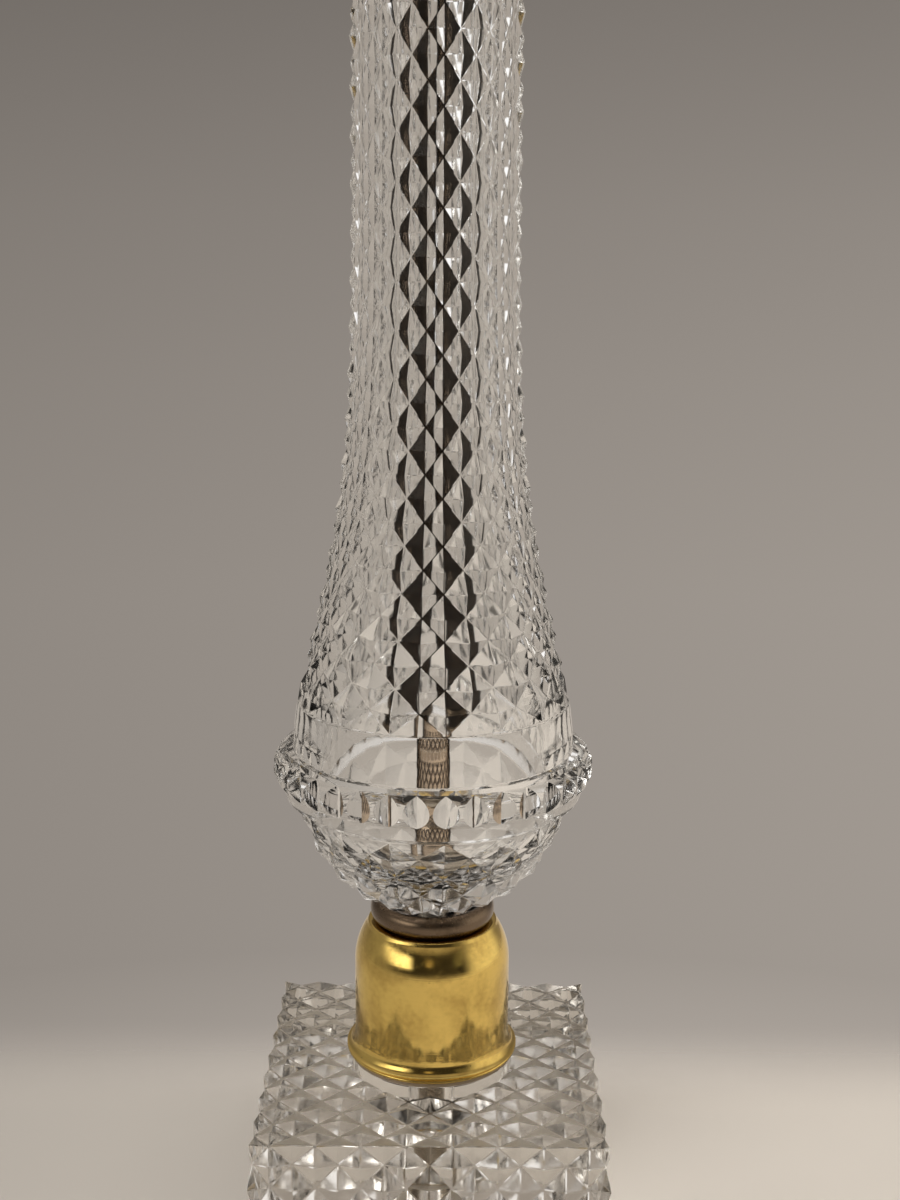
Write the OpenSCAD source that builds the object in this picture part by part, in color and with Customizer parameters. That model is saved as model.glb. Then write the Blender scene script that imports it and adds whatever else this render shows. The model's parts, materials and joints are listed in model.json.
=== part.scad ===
// Table lamp of cut crystal. A hollow diamond-cut column with a notched collar
// stands in a bronze seating ring on a brass cup, over a square diamond-cut base.
// A hollow threaded rod runs up through everything and draws it together. It
// carries the brass cap, the neck, the harp with its finial, and the lampholder.
//
// Origin: centre of the felt underside. +Z is up, and -Y is the front.
// All sizes are in millimetres.

/* [Crystal base] */
// Width of the square base across its diamond points
base_w = 127; // [122:1:140]
// Height of the crystal block, from its ground underside to its diamond points
base_h = 48.5; // [40:0.5:70]
// Diamonds along each side of the base
base_diamonds = 8; // [6:1:10]
// Half rows of diamonds down each side
base_rows = 5; // [3:1:7]
// Height of the plain band that the side cuts run out into
base_band = 3.5; // [2:0.5:6]
// How far the diamond points are ground back along the top edges
base_edge = 0.9; // [0.3:0.1:2]
// Height of the round boss that the cup stands on, above the diamond points
boss_h = 3.2; // [1:0.2:5]
// Diameter of the recess under the base
recess_d = 46; // [40:1:70]
// Depth of the recess under the base
recess_h = 14; // [12:0.5:24]
// Thickness of the felt pad
felt_t = 1.5; // [1:0.1:4]
// Distance of the felt's edge from the bottom of the side grooves
felt_margin = 1.2; // [0.5:0.1:8]

/* [Diamond cutting] */
// Rise of a groove's wall against its half width, on the stem
stem_cut_rise = 0.5; // [0.3:0.02:0.6]
// The same on the bowl, which is cut flatter
bowl_cut_rise = 0.36; // [0.2:0.02:0.5]
// The same on the base
base_cut_rise = 0.36; // [0.2:0.02:0.5]

/* [Brass cup] */
// Diameter of the cup's straight wall
cup_d = 58; // [52:0.5:60]
// Height of the cup
cup_h = 51.5; // [44:0.5:60]
// Thickness of the cup's sheet
cup_wall = 1.2; // [0.8:0.1:2]
// Diameter of the cup over its flared lip
cup_lip_d = 64.2; // [63:0.2:68]
// Height over which the lip flares out
cup_lip_h = 8; // [5:0.5:12]
// Radius of the cup's rounded shoulder
cup_shoulder_r = 26; // [24:0.5:30]
// Height at which the shoulder begins
cup_shoulder_h = 35.5; // [30:0.5:38]
// Thickness of the fibre washer under the cup
cup_washer_t = 1.8; // [1:0.1:3]

/* [Seating ring] */
// Diameter of the seating ring over its round rim
seat_d = 46.2; // [45:0.2:50]
// Half the width of the rim
seat_rim_r = 2.8; // [2:0.1:3.2]
// Thickness of the ring's floor
seat_floor = 1.4; // [1:0.1:2]
// Gap between the rim's top and the bowl over it
seat_gap = 0.6; // [0.5:0.1:2]
// Thickness of the soft washer under the column's foot
foot_washer_t = 1.2; // [0.8:0.1:2]

/* [Crystal column] */
// Height of the crystal column
column_h = 346; // [300:1:400]
// Diameter of the column across the diamond points near its top
stem_d = 58.8; // [54:0.2:66]
// How much wider the column is just above its collar ring than the bowl below it
belly_over = 3.6; // [2:0.2:6]
// Length over which the column tapers from the belly to the stem
flare_len = 74; // [60:1:90]
// Sharpness of that taper
flare_pow = 1.7; // [1.4:0.05:2.2]
// Diamonds around the column
column_diamonds = 16; // [12:1:20]
// Half rows of diamonds up the column
column_rows = 32; // [24:1:36]
// Height of the cut-off first half row, as a share of a whole one
first_row = 0.82; // [0.5:0.02:1]
// Height of the plain band between the collar ring and the diamonds
band_h = 17.5; // [10:0.5:26]
// Height of the plain collar at the top of the column
crown_h = 3.7; // [3:0.1:8]
// Thickness of the column's wall
glass_wall = 7; // [6:0.5:9]
// Thickness of the glass under the cavity
glass_floor = 22; // [18:0.5:30]

/* [Bowl of the column] */
// Diameter of the column's foot
foot_d = 34.4; // [34:0.1:34.8]
// Height of the foot below the bowl
foot_h = 6.5; // [4.5:0.1:9]
// Height of the diamond-cut bowl
bowl_h = 38.5; // [32:0.5:46]
// Diameter of the bowl at its top
bowl_d = 98.4; // [92:0.2:106]
// Fullness of the bowl's curve, 2 for an ellipse
bowl_full = 1.65; // [1.5:0.05:2.2]
// Half rows of diamonds on the bowl
bowl_rows = 6; // [4:2:8]

/* [Collar ring] */
// How much wider the collar ring is across its crest than the bowl
ring_over = 18.2; // [14:0.2:22]
// Height of the collar ring, from its lower edge to the ledge
ring_h = 20.5; // [18:0.5:24]
// Height of the ring's crest above its lower edge
ring_crest_h = 13.6; // [12:0.1:15]
// Height of the notched band
ring_band_h = 11.8; // [8:0.2:13]
// Depth of the notches
notch_depth = 2.9; // [1.5:0.1:3.4]
// Notches around the ring
notches = 36; // [24:4:48]

/* [Rod and its sleeves] */
// Outer diameter of the hollow threaded rod
rod_d = 9.7; // [9:0.1:10.5]
// Bore of the hollow rod
rod_bore_d = 6.4; // [5:0.1:7]
// Diameter of the plated sleeve over the rod
sleeve_d = 12.4; // [12:0.1:14]
// Length of the lower sleeve
sleeve_low_h = 36; // [28:0.5:44]
// Diameter of the collar between the sleeves
collar_d = 15.8; // [14:0.1:20]
// Height of that collar
collar_h = 3.4; // [2:0.1:6]
// Width across the flats of the rod's nuts
nut_af = 16; // [14:0.5:19]
// Height of the nut in the base
base_nut_h = 5; // [4:0.2:7]
// Height of the nut in the bowl
bowl_nut_h = 8; // [5:0.5:10]
// Diameter of the washer in the bowl
bowl_washer_d = 24; // [20:0.5:25]
// Thickness of the washer in the bowl
bowl_washer_t = 2.5; // [1.5:0.1:4]
// Diameter of the washer in the base
base_washer_d = 34; // [26:0.5:38]
// Thickness of the washer in the base
base_washer_t = 2; // [1:0.1:3]
// Thickness of the split lock washer
lock_washer_t = 1.6; // [1:0.1:2.4]

/* [Cord inlet] */
// Bore of the cord bushing
inlet_bore_d = 5.6; // [4:0.1:6.5]
// Diameter of the bushing's barrel
bushing_d = 8.4; // [8:0.1:9]
// Diameter of the bushing's flange
bushing_flange_d = 11.6; // [10.5:0.1:12.5]
// Thickness of the bushing's flange
bushing_flange_t = 2; // [1.5:0.1:3]
// Length of the bushing's barrel
bushing_len = 12; // [8:0.5:16]
// Height of the bushing's centre above the crystal's underside
inlet_h = 7.4; // [7:0.1:9]

/* [Top cap and neck] */
// Thickness of the cap's sheet
cap_wall = 1.1; // [0.8:0.1:1.8]
// Height of the skirt that hangs over the column's top
cap_skirt_h = 6; // [4:0.5:10]
// Width of the flat shelf around the dome
cap_shelf_w = 5; // [3:0.5:8]
// Height of the dome above the shelf
cap_dome_h = 12; // [8:0.5:18]
// Diameter of the flat on top of the dome
cap_top_d = 26; // [25:0.5:30]
// Thickness of the soft gasket on the column's rim
gasket_t = 1.2; // [0.8:0.1:2]
// Height of the turned neck
neck_h = 26; // [20:0.5:40]
// Diameter of the neck's flanges
neck_flange_d = 24; // [22:0.5:25]
// Diameter of the neck's bead
neck_bead_d = 19; // [17:0.5:22]
// Diameter of the neck's waist
neck_waist_d = 14; // [13:0.2:16]

/* [Harp] */
// Thickness of the harp saddle's strip
saddle_t = 1.6; // [1.2:0.1:2.4]
// Width of the harp saddle's strip
saddle_w = 12; // [10:0.5:14]
// Distance between the two legs of the harp
leg_spread = 46.6; // [46:0.2:52]
// Height of the saddle's posts above the neck
post_h = 14; // [10:0.5:20]
// Diameter of the saddle's posts and of the harp's leg ends
post_d = 5.2; // [4.8:0.1:6]
// Diameter of the pin on top of each post
post_pin_d = 2.8; // [2.4:0.1:3.2]
// Length of that pin
post_pin_h = 9; // [6:0.5:12]
// Diameter of the harp's wire
wire_d = 3.2; // [2.8:0.1:4]
// Distance between the sides of the harp at its widest, between wire centres
harp_w = 115; // [100:1:118]
// Radius of the harp's long side curves
harp_side_r = 125; // [110:1:140]
// Radius of the harp's inward curves above the legs
harp_heel_r = 15; // [10:0.5:20]
// Lean of the wire where the side curves begin and end, in degrees
harp_lean = 35; // [30:1:38]
// Length of the sliding leg sleeves
slide_h = 14; // [10:0.5:16]
// Travel of the sliding leg sleeves
slide_travel = 10; // [6:0.5:12]
// Thickness of the sliding sleeves' wall
slide_wall = 0.8; // [0.6:0.1:1.2]
// Diameter of the stud that takes the shade and the finial
stud_d = 6.35; // [5:0.05:8]
// Length of the stud
stud_h = 12; // [9:0.5:16]
// Diameter of the seat under the stud
stud_seat_d = 13; // [11:0.5:18]
// Thickness of that seat
stud_seat_t = 3.6; // [3.4:0.1:5]
// Height of the finial
finial_h = 34; // [26:0.5:50]
// Diameter of the finial's ball
finial_d = 20; // [16:0.5:26]
// Diameter of the finial's foot
finial_foot_d = 15; // [13:0.5:18]

/* [Lampholder] */
// Outer diameter of the lampholder's shell
shell_d = 32.6; // [32.6:0.2:35]
// Height of the lampholder's cap
holder_cap_h = 20; // [17:0.5:24]
// Height of the shell
shell_h = 42; // [41:0.5:50]
// Thickness of the cap's and the shell's sheet
shell_wall = 0.7; // [0.5:0.1:1]
// Thickness of the insulating liner
liner_t = 0.6; // [0.4:0.1:0.8]
// Inner diameter of the screw shell that takes the bulb
screw_bore_d = 26.4; // [26:0.1:26.8]
// Thickness of the screw shell's sheet
screw_wall = 0.5; // [0.4:0.05:0.7]
// Depth of the screw shell
screw_h = 24; // [20:0.5:26]
// Height of the moulded switch body
switch_body_h = 17; // [14:0.5:19]
// Diameter of the switch shaft
shaft_d = 3.4; // [3:0.1:4]
// Diameter of the turn knob
knob_d = 11; // [9:0.5:14]
// Length of the turn knob
knob_len = 12; // [9:0.5:16]
// Thickness of the knob's flat grip
knob_grip_t = 3.6; // [3:0.1:5]

/* [Fits] */
// Clearance around what only passes through a hole
pass_gap = 0.45; // [0.3:0.05:0.8]
// Clearance between a nut, washer or sleeve and the rod
fit_gap = 0.15; // [0.05:0.05:0.3]
// Clearance between pieces that slide or turn
run_gap = 0.3; // [0.25:0.05:0.5]

/* [Hidden] */

$fn = 96;

// Heights above the table, from the felt up to the finial
base_z = felt_t;
point_z = base_z + base_h;
boss_z = point_z + boss_h;
cup_z = boss_z + cup_washer_t;
seat_z = cup_z + cup_h;
foot_washer_z = seat_z + seat_floor;
column_z = foot_washer_z + foot_washer_t;
rim_z = column_z + column_h;
shelf_z = rim_z + gasket_t;
neck_z = shelf_z + cap_wall + cap_dome_h;
saddle_z = neck_z + neck_h;
holder_z = saddle_z + saddle_t;
recess_z = base_z + recess_h;

// Radii of holes that pieces pass or fit
rod_r = rod_d/2;
rod_hole_r = rod_r + pass_gap;
rod_fit_r = rod_r + fit_gap;

// Diamond cutting: the depth of two crossing rows of grooves, from the width and
// the height of one diamond
function groove_depth(w, h, rise) = rise/2*w*h/sqrt(w*w + h*h);

// Points along an arc of an ellipse
function arc_points(cx, cy, rx, ry, from, to, steps) =
    [for (s = [0:steps]) let (a = from + (to - from)*s/steps) [cx + rx*cos(a), cy + ry*sin(a)]];

// Reverses a list of points
function turned(list) = [for (s = [len(list) - 1:-1:0]) list[s]];

module at(z) {
    translate([0, 0, z]) children();
}

// A tube or washer standing on height z
module ring_piece(z, h, outer_r, inner_r) {
    at(z) difference() {
        cylinder(h = h, r = outer_r);
        at(-1) cylinder(h = h + 2, r = inner_r);
    }
}

// Square base, cut all over with a square net of diamonds
base_step = base_w/2/base_diamonds;
base_cut = groove_depth(2*base_step, 2*base_step, base_cut_rise);
base_row_h = (base_h - base_band)/base_rows;
base_side = 2*base_diamonds;
base_ring = 4*base_side;

// The nth grid place around the edge of the top, counted from the front left corner
function edge_place(n) = let (side = floor(n/base_side)%4, s = n%base_side - base_diamonds)
    side == 0 ? [s, -base_diamonds] :
    side == 1 ? [base_diamonds, s] :
    side == 2 ? [-s, base_diamonds] : [-base_diamonds, -s];

// A grid coordinate on the outer faces is drawn in by the given amount
function drawn_in(i, amount) = i*base_step - (abs(i) == base_diamonds ? sign(i)*amount : 0);

function on_rim(i, j) = max(abs(i), abs(j)) == base_diamonds;
function sunk(i, j, row) = (abs(i) + abs(j) + row)%2 == 1;

base_top_points = [for (j = [-base_diamonds:base_diamonds], i = [-base_diamonds:base_diamonds])
    let (back = sunk(i, j, 0) ? base_cut : on_rim(i, j) ? base_edge : 0)
    [drawn_in(i, back), drawn_in(j, back), point_z - back]];

base_side_points = [for (row = [1:base_rows + 1], n = [0:base_ring - 1])
    let (place = edge_place(n), level = min(row, base_rows))
    let (back = sunk(place[0], place[1], level) ? base_cut : 0)
    [drawn_in(place[0], back), drawn_in(place[1], back),
        row > base_rows ? base_z : point_z - row*base_row_h]];

function top_index(i, j) = (j + base_diamonds)*(base_side + 1) + i + base_diamonds;
function side_index(row, n) = let (place = edge_place(n))
    row == 0 ? top_index(place[0], place[1]) :
    len(base_top_points) + (row - 1)*base_ring + n%base_ring;

// Four corners in turn become two triangles, split from a to c or from b to d
function split_cell(a, b, c, d, along_ac) = along_ac ? [[a, b, c], [a, c, d]] : [[a, b, d], [b, c, d]];

base_top_faces = [for (j = [-base_diamonds:base_diamonds - 1], i = [-base_diamonds:base_diamonds - 1])
    each split_cell(top_index(i, j), top_index(i, j + 1), top_index(i + 1, j + 1),
        top_index(i + 1, j), sunk(i, j, 0))];

base_side_faces = [for (row = [0:base_rows], n = [0:base_ring - 1])
    let (place = edge_place(n))
    each split_cell(side_index(row + 1, n), side_index(row, n), side_index(row, n + 1),
        side_index(row + 1, n + 1), sunk(place[0], place[1], row + 1))];

// The underside fans out from one point at its centre
base_points = concat(base_top_points, base_side_points, [[0, 0, base_z]]);
base_under_faces = [for (n = [0:base_ring - 1])
    [len(base_points) - 1, side_index(base_rows + 1, n), side_index(base_rows + 1, n + 1)]];

boss_set_in = 1.6;
boss_r = cup_lip_d/2 - boss_set_in;
inlet_z = base_z + inlet_h;
bushing_bite = 0.4;
bushing_seat = base_w/2 - base_cut - bushing_bite;
bushing_face = bushing_seat + bushing_flange_t;

module base_crystal() {
    color("whitesmoke", 0.6) difference() {
        union() {
            polyhedron(points = base_points,
                faces = concat(base_top_faces, base_side_faces, base_under_faces));
            at(point_z - 2*base_cut) cylinder(h = 2*base_cut + boss_h, r = boss_r);
        }
        at(base_z - 1) cylinder(h = base_h + boss_h + 2, r = rod_hole_r);
        at(base_z - 1) cylinder(h = recess_h + 1, d = recess_d);
        // Passage for the cord, from the recess out through the back
        translate([0, 0, inlet_z]) rotate([-90, 0, 0]) cylinder(h = base_w, d = bushing_d + 2*fit_gap);
        translate([0, bushing_seat, inlet_z]) rotate([-90, 0, 0])
            cylinder(h = base_w, d = bushing_flange_d + 2*fit_gap);
    }
}

felt_w = base_w - 2*base_cut - 2*felt_margin;
felt_corner = 3;

module base_felt() {
    color("darkgreen") linear_extrude(felt_t) union() {
        square([felt_w, felt_w - 2*felt_corner], center = true);
        square([felt_w - 2*felt_corner, felt_w], center = true);
        for (x = [-1, 1], y = [-1, 1])
            translate([x*(felt_w/2 - felt_corner), y*(felt_w/2 - felt_corner)]) circle(r = felt_corner);
    }
}

base_washer_z = recess_z - base_washer_t;
base_lock_z = base_washer_z - lock_washer_t;
base_nut_z = base_lock_z - base_nut_h;
rod_tail = 2.2;
lock_washer_d = nut_af + 1;
lock_slit = 1.6;

module base_washer() {
    color("silver") ring_piece(base_washer_z, base_washer_t, base_washer_d/2, rod_fit_r);
}

module base_lock_washer() {
    color("dimgray") difference() {
        ring_piece(base_lock_z, lock_washer_t, lock_washer_d/2, rod_fit_r);
        translate([0, -lock_slit/2, base_lock_z - 1]) cube([lock_washer_d, lock_slit, lock_washer_t + 2]);
    }
}

// Hexagonal nut with its corners turned off at both ends
module hex_nut(h) {
    corner_r = nut_af/2/cos(30);
    bevel = corner_r - nut_af/2;
    difference() {
        intersection() {
            cylinder(h = h, r = corner_r, $fn = 6);
            union() {
                cylinder(h = bevel/2, r1 = nut_af/2, r2 = corner_r);
                at(bevel/2) cylinder(h = h - bevel, r = corner_r);
                at(h - bevel/2) cylinder(h = bevel/2, r1 = corner_r, r2 = nut_af/2);
            }
        }
        at(-1) cylinder(h = h + 2, r = rod_fit_r);
    }
}

module base_nut() {
    color("goldenrod") at(base_nut_z) hex_nut(base_nut_h);
}

// Moulded bushing: a barrel in the glass and a round-edged flange on the back
module cord_bushing() {
    nose = bushing_flange_t/2;
    barrel_r = bushing_d/2;
    flange_r = bushing_flange_d/2;
    mouth = 0.6;
    bore_r = inlet_bore_d/2;
    color("saddlebrown") translate([0, bushing_face, inlet_z]) rotate([90, 0, 0]) rotate_extrude()
        polygon(concat(
            [[bore_r, bushing_flange_t + bushing_len], [bore_r, mouth], [bore_r + mouth, 0]],
            arc_points(flange_r - nose, nose, nose, nose, -90, 0, 6),
            [[flange_r, bushing_flange_t], [barrel_r, bushing_flange_t],
                [barrel_r, bushing_flange_t + bushing_len]]));
}

cup_washer_out = 0.4;
cup_washer_w = 6.5;

module cup_washer() {
    outer_r = boss_r + cup_washer_out;
    color("saddlebrown") ring_piece(boss_z, cup_washer_t, outer_r, outer_r - cup_washer_w - cup_washer_out);
}

// The cup's shape on the radius t inside its outer face, from the lip to the top
lip_roll = 0.8;
cup_corner = 1.2;
shoulder_end = asin((cup_h - cup_corner - cup_shoulder_h)/cup_shoulder_r);
function cup_shoulder(t) = arc_points(cup_d/2 - cup_shoulder_r, cup_shoulder_h,
    cup_shoulder_r - t, cup_shoulder_r - t, 0, shoulder_end, 16);
function cup_flare(t, low) = [for (s = [0:8]) let (a = 90 - 90*s/8)
    [cup_d/2 - t + (cup_lip_d/2 - cup_d/2 - (t > 0 ? 0.3 : 0))*(1 - cos(a)),
        cup_lip_h - (cup_lip_h - low)*sin(a)]];

module brass_cup() {
    top_r = cup_d/2 - cup_shoulder_r + cup_shoulder_r*cos(shoulder_end) - cup_corner/2;
    color("gold") at(cup_z) rotate_extrude() polygon(concat(
        arc_points(cup_lip_d/2 - lip_roll, lip_roll, lip_roll, lip_roll, -90, 60, 8),
        cup_flare(0, 2*lip_roll),
        cup_shoulder(0),
        arc_points(top_r - cup_corner/2, cup_h - cup_corner, cup_corner, cup_corner, 45, 90, 4),
        [[rod_fit_r, cup_h], [rod_fit_r, cup_h - cup_wall], [top_r - cup_corner, cup_h - cup_wall]],
        turned(cup_shoulder(cup_wall)),
        turned(cup_flare(cup_wall, 0))));
}

seat_rim_at = seat_d/2 - seat_rim_r;
seat_rim_low = 0.3;
seat_h = seat_floor + foot_washer_t + foot_h - seat_gap;
seat_rim_half = (seat_h - seat_rim_low)/2;

module seating_ring() {
    color("dimgray") at(seat_z) rotate_extrude() union() {
        translate([rod_fit_r, 0]) square([seat_rim_at - rod_fit_r, seat_floor]);
        polygon(arc_points(seat_rim_at, seat_rim_low + seat_rim_half, seat_rim_r, seat_rim_half,
            0, 345, 23));
    }
}

foot_washer_in = 0.6;
foot_washer_bore = 3;

module foot_washer() {
    color("black") ring_piece(foot_washer_z, foot_washer_t, foot_d/2 - foot_washer_in,
        rod_fit_r + foot_washer_bore);
}

// The column. Heights here are above its foot.
belly_d = bowl_d + belly_over;
ring_d = bowl_d + ring_over;
bowl_top = foot_h + bowl_h;
ring_step = 0.4;
ring_low = bowl_top + ring_step;
ledge = ring_low + ring_h;
cuts_low = ledge + band_h;
cuts_high = column_h - crown_h;
column_row_h = (cuts_high - cuts_low)/(column_rows + first_row);
columns = 2*column_diamonds;
neck_of_foot_r = foot_d/2 + 0.6;

// Radius of the uncut glass above the ledge
function stem_r(h) = stem_d/2 + (belly_d - stem_d)/2*exp(-pow(max(h - ledge, 0)/flare_len, flare_pow));

// Point of the bowl's curve, t from 0 at its top to 1 at the foot, pushed in by d
function bowl_curve(t) = [
    neck_of_foot_r + (bowl_d/2 - neck_of_foot_r)*pow(abs(cos(90*t)), 2/bowl_full),
    bowl_top - bowl_h*pow(abs(sin(90*t)), 2/bowl_full)];
function bowl_point(t, d) = d == 0 ? bowl_curve(t) :
    let (v = bowl_curve(t + 0.02) - bowl_curve(t - 0.02)) bowl_curve(t) - d/norm(v)*[-v[1], v[0]];

// Rows of the net, from the foot up: the bowl, the plain part, and the stem
last_row = bowl_rows + column_rows + 2;
function row_h(row) = let (up = row - bowl_rows - 1)
    up == 0 ? cuts_low : cuts_low + (up - 1 + first_row)*column_row_h;
function plain_row(row) = row == 0 || row == bowl_rows || row == bowl_rows + 1 || row == last_row;
function valley(col, row) = row <= bowl_rows ? (col + bowl_rows - row)%2 == 0 : (col + row - bowl_rows)%2 == 1;
function diamond_w(r) = 2*PI*r/column_diamonds;

// Radius and height of one point of the net. The bowl's rows are longer along its
// curve than they are high.
bowl_stretch = 1.3;
function net_point(col, row) = let (cut = valley(col, row) && !plain_row(row))
    row <= bowl_rows ?
        let (t = 1 - row/bowl_rows, w = diamond_w(bowl_curve(t)[0]))
        bowl_point(t, cut ? groove_depth(w, 2*bowl_h/bowl_rows*bowl_stretch, bowl_cut_rise) : 0) :
        let (h = row_h(row), r = min(stem_r(h), bowl_d/2))
        [r - (cut ? groove_depth(diamond_w(r), 2*column_row_h, stem_cut_rise) : 0), h];

net_points = [for (row = [0:last_row], col = [0:columns - 1])
    let (p = net_point(col, row), a = -90 + (col + 0.5)*360/columns)
    [p[0]*cos(a), p[0]*sin(a), p[1]]];

function net_index(col, row) = row*columns + col%columns;

net_faces = concat(
    [[for (col = [0:columns - 1]) net_index(col, 0)]],
    [[for (col = [columns - 1:-1:0]) net_index(col, last_row)]],
    [for (row = [0:last_row - 1], col = [0:columns - 1])
        each split_cell(net_index(col, row), net_index(col, row + 1), net_index(col + 1, row + 1),
            net_index(col + 1, row), valley(col, row))]);

// The uncut collar ring, with the plain band above it
crest_at = ring_low + ring_crest_h;
root_r = ring_d/2 - notch_depth;
crest_bow = (pow(ring_band_h/2, 2) + pow(notch_depth, 2))/(2*notch_depth);
crest_half = asin(ring_band_h/2/crest_bow);
ring_under_in = 1.6;
ring_under_h = 2.7;
ring_over_in = 1.9;

module collar_ring() {
    core_r = bowl_d/4;
    lip = 0.3;
    plain_top = cuts_low - ring_step;
    rotate_extrude() polygon(concat(
        [[core_r, ring_low], [bowl_d/2 + lip, ring_low],
            [root_r - ring_under_in, ring_low + ring_under_h]],
        arc_points(ring_d/2 - crest_bow, crest_at, crest_bow, crest_bow, -crest_half, crest_half, 16),
        [[root_r - ring_over_in, ledge]],
        [for (s = [0:6]) let (h = ledge + (plain_top - ledge)*s/6) [stem_r(h), h]],
        [[core_r, plain_top]]));
}

// One notch: an upright wedge. Its edge lies a little outside the root circle, so that
// the notch runs out on the crest's curve, short of the band's ends.
module notch() {
    half_w = PI*ring_d/notches/2;
    reach = 1.5;
    runout = 0.15;
    translate([root_r + runout, 0, crest_at - ring_band_h]) linear_extrude(2*ring_band_h)
        polygon([[0, 0], [notch_depth*reach, -half_w*reach], [notch_depth*reach, half_w*reach]]);
}

cavity_top_r = stem_d/2 - glass_wall;
cavity_low_r = bowl_d/2 - glass_wall;
cavity_floor_r = bowl_washer_d/2 + 1;
top_r = stem_d/2 + 0.4;

module cavity() {
    steps = 20;
    rotate_extrude() polygon(concat(
        [[0, column_h + 1], [0, glass_floor]],
        arc_points(cavity_floor_r, bowl_top, cavity_low_r - cavity_floor_r,
            bowl_top - glass_floor, -90, 0, 12),
        [for (s = [0:steps]) let (h = ledge + (cuts_high - ledge)*s/steps)
            [min(stem_r(h) - glass_wall, cavity_low_r), h]],
        [[cavity_top_r, column_h + 1]]));
}

module column_crystal() {
    edge = 0.5;
    foot_in = 4;
    crown_in = 2;
    crown_step = 2.3;
    color("white", 0.6) at(column_z) difference() {
        union() {
            polyhedron(points = net_points, faces = net_faces);
            difference() {
                collar_ring();
                for (n = [0:notches - 1]) rotate([0, 0, -90 + (n + 0.5)*360/notches]) notch();
            }
            rotate_extrude() polygon([[0, 0], [foot_d/2 - edge, 0], [foot_d/2, edge],
                [foot_d/2, foot_h + foot_in], [0, foot_h + foot_in]]);
            at(cuts_high - crown_in) rotate_extrude() polygon([[0, 0], [stem_d/2 - crown_in, 0],
                [stem_d/2 - crown_in, crown_step], [top_r, crown_step],
                [top_r, crown_h + crown_in - edge], [top_r - edge, crown_h + crown_in],
                [0, crown_h + crown_in]]);
        }
        cavity();
        at(-1) cylinder(h = glass_floor + 2, r = rod_hole_r);
    }
}

rod_in_holder = 8;
rod_top = holder_z + rod_in_holder;

module threaded_rod() {
    low = base_nut_z - rod_tail;
    color("silver") ring_piece(low, rod_top - low, rod_r, rod_bore_d/2);
}

bowl_washer_z = column_z + glass_floor;
bowl_nut_z = bowl_washer_z + bowl_washer_t;
sleeve_z = bowl_nut_z + bowl_nut_h;
collar_z = sleeve_z + sleeve_low_h;
upper_sleeve_z = collar_z + collar_h;
cap_under_z = neck_z - cap_wall;

module bowl_washer() {
    color("silver") ring_piece(bowl_washer_z, bowl_washer_t, bowl_washer_d/2, rod_fit_r);
}

module bowl_nut() {
    color("silver") at(bowl_nut_z) hex_nut(bowl_nut_h);
}

module lower_sleeve() {
    color("tan") ring_piece(sleeve_z, sleeve_low_h, sleeve_d/2, rod_fit_r);
}

// Collar with a round outer edge
module sleeve_collar() {
    color("silver") at(collar_z) rotate_extrude() polygon(concat(
        [[rod_fit_r, 0]],
        arc_points(collar_d/2 - collar_h/2, collar_h/2, collar_h/2, collar_h/2, -90, 90, 12),
        [[rod_fit_r, collar_h]]));
}

module upper_sleeve() {
    color("dimgray") ring_piece(upper_sleeve_z, cap_under_z - pass_gap - upper_sleeve_z,
        sleeve_d/2, rod_fit_r);
}

cap_in_r = top_r + pass_gap;
cap_out_r = cap_in_r + cap_wall;

gasket_out_in = 1;
gasket_bore_out = 0.5;

module top_gasket() {
    color("black") ring_piece(rim_z, gasket_t, top_r - gasket_out_in, cavity_top_r + gasket_bore_out);
}

// The cap's dome, hollow sided, on the radius t inside its outer face
function cap_dome(t) = let (low_r = cap_out_r - cap_shelf_w - t, high_r = cap_top_d/2 - t)
    arc_points(low_r, cap_dome_h - t, low_r - high_r, cap_dome_h, 270, 180, 14);

module top_cap() {
    rim = 0.9;
    color("gold") at(shelf_z) rotate_extrude() polygon(concat(
        [[cap_in_r, 0], [cap_in_r, -cap_skirt_h]],
        arc_points(cap_out_r, rim - cap_skirt_h, rim, rim, -90, 90, 8),
        arc_points(cap_out_r - 1, cap_wall - 1, 1, 1, 0, 90, 5),
        [for (p = cap_dome(0)) p + [0, cap_wall]],
        [[rod_fit_r, cap_dome_h + cap_wall], [rod_fit_r, cap_dome_h]],
        turned([for (p = cap_dome(cap_wall)) p + [0, cap_wall]]),
        [[cap_out_r - cap_shelf_w - cap_wall, 0]]));
}

// Turned neck: two flanges, two coves and a bead
module neck() {
    flange_t = 2.4;
    flange_r = neck_flange_d/2;
    bead_half = 3.4;
    cove_r = neck_waist_d/2;
    mid = neck_h/2;
    cove_h = mid - bead_half - flange_t;
    color("gold") at(neck_z) rotate_extrude() polygon(concat(
        [[rod_fit_r, 0], [flange_r - 0.6, 0], [flange_r, 0.6], [flange_r, flange_t - 0.6],
            [flange_r - 0.6, flange_t]],
        arc_points(cove_r + cove_h/2, flange_t + cove_h/2, cove_h/2, cove_h/2, 270, 90, 12),
        arc_points(neck_bead_d/2 - bead_half, mid, bead_half, bead_half, -90, 90, 12),
        arc_points(cove_r + cove_h/2, mid + bead_half + cove_h/2, cove_h/2, cove_h/2, 270, 90, 12),
        [[flange_r - 0.6, neck_h - flange_t], [flange_r, neck_h - flange_t + 0.6],
            [flange_r, neck_h - 0.6], [flange_r - 0.6, neck_h], [rod_fit_r, neck_h]]));
}

// Harp saddle: a strip bent up at both ends, with a post and a pin on each
leg_x = leg_spread/2;
post_z = saddle_z + post_h;
post_grip = 6;
post_set_in = 1;
post_low = post_z - post_grip;
bend_r = 4;

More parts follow.
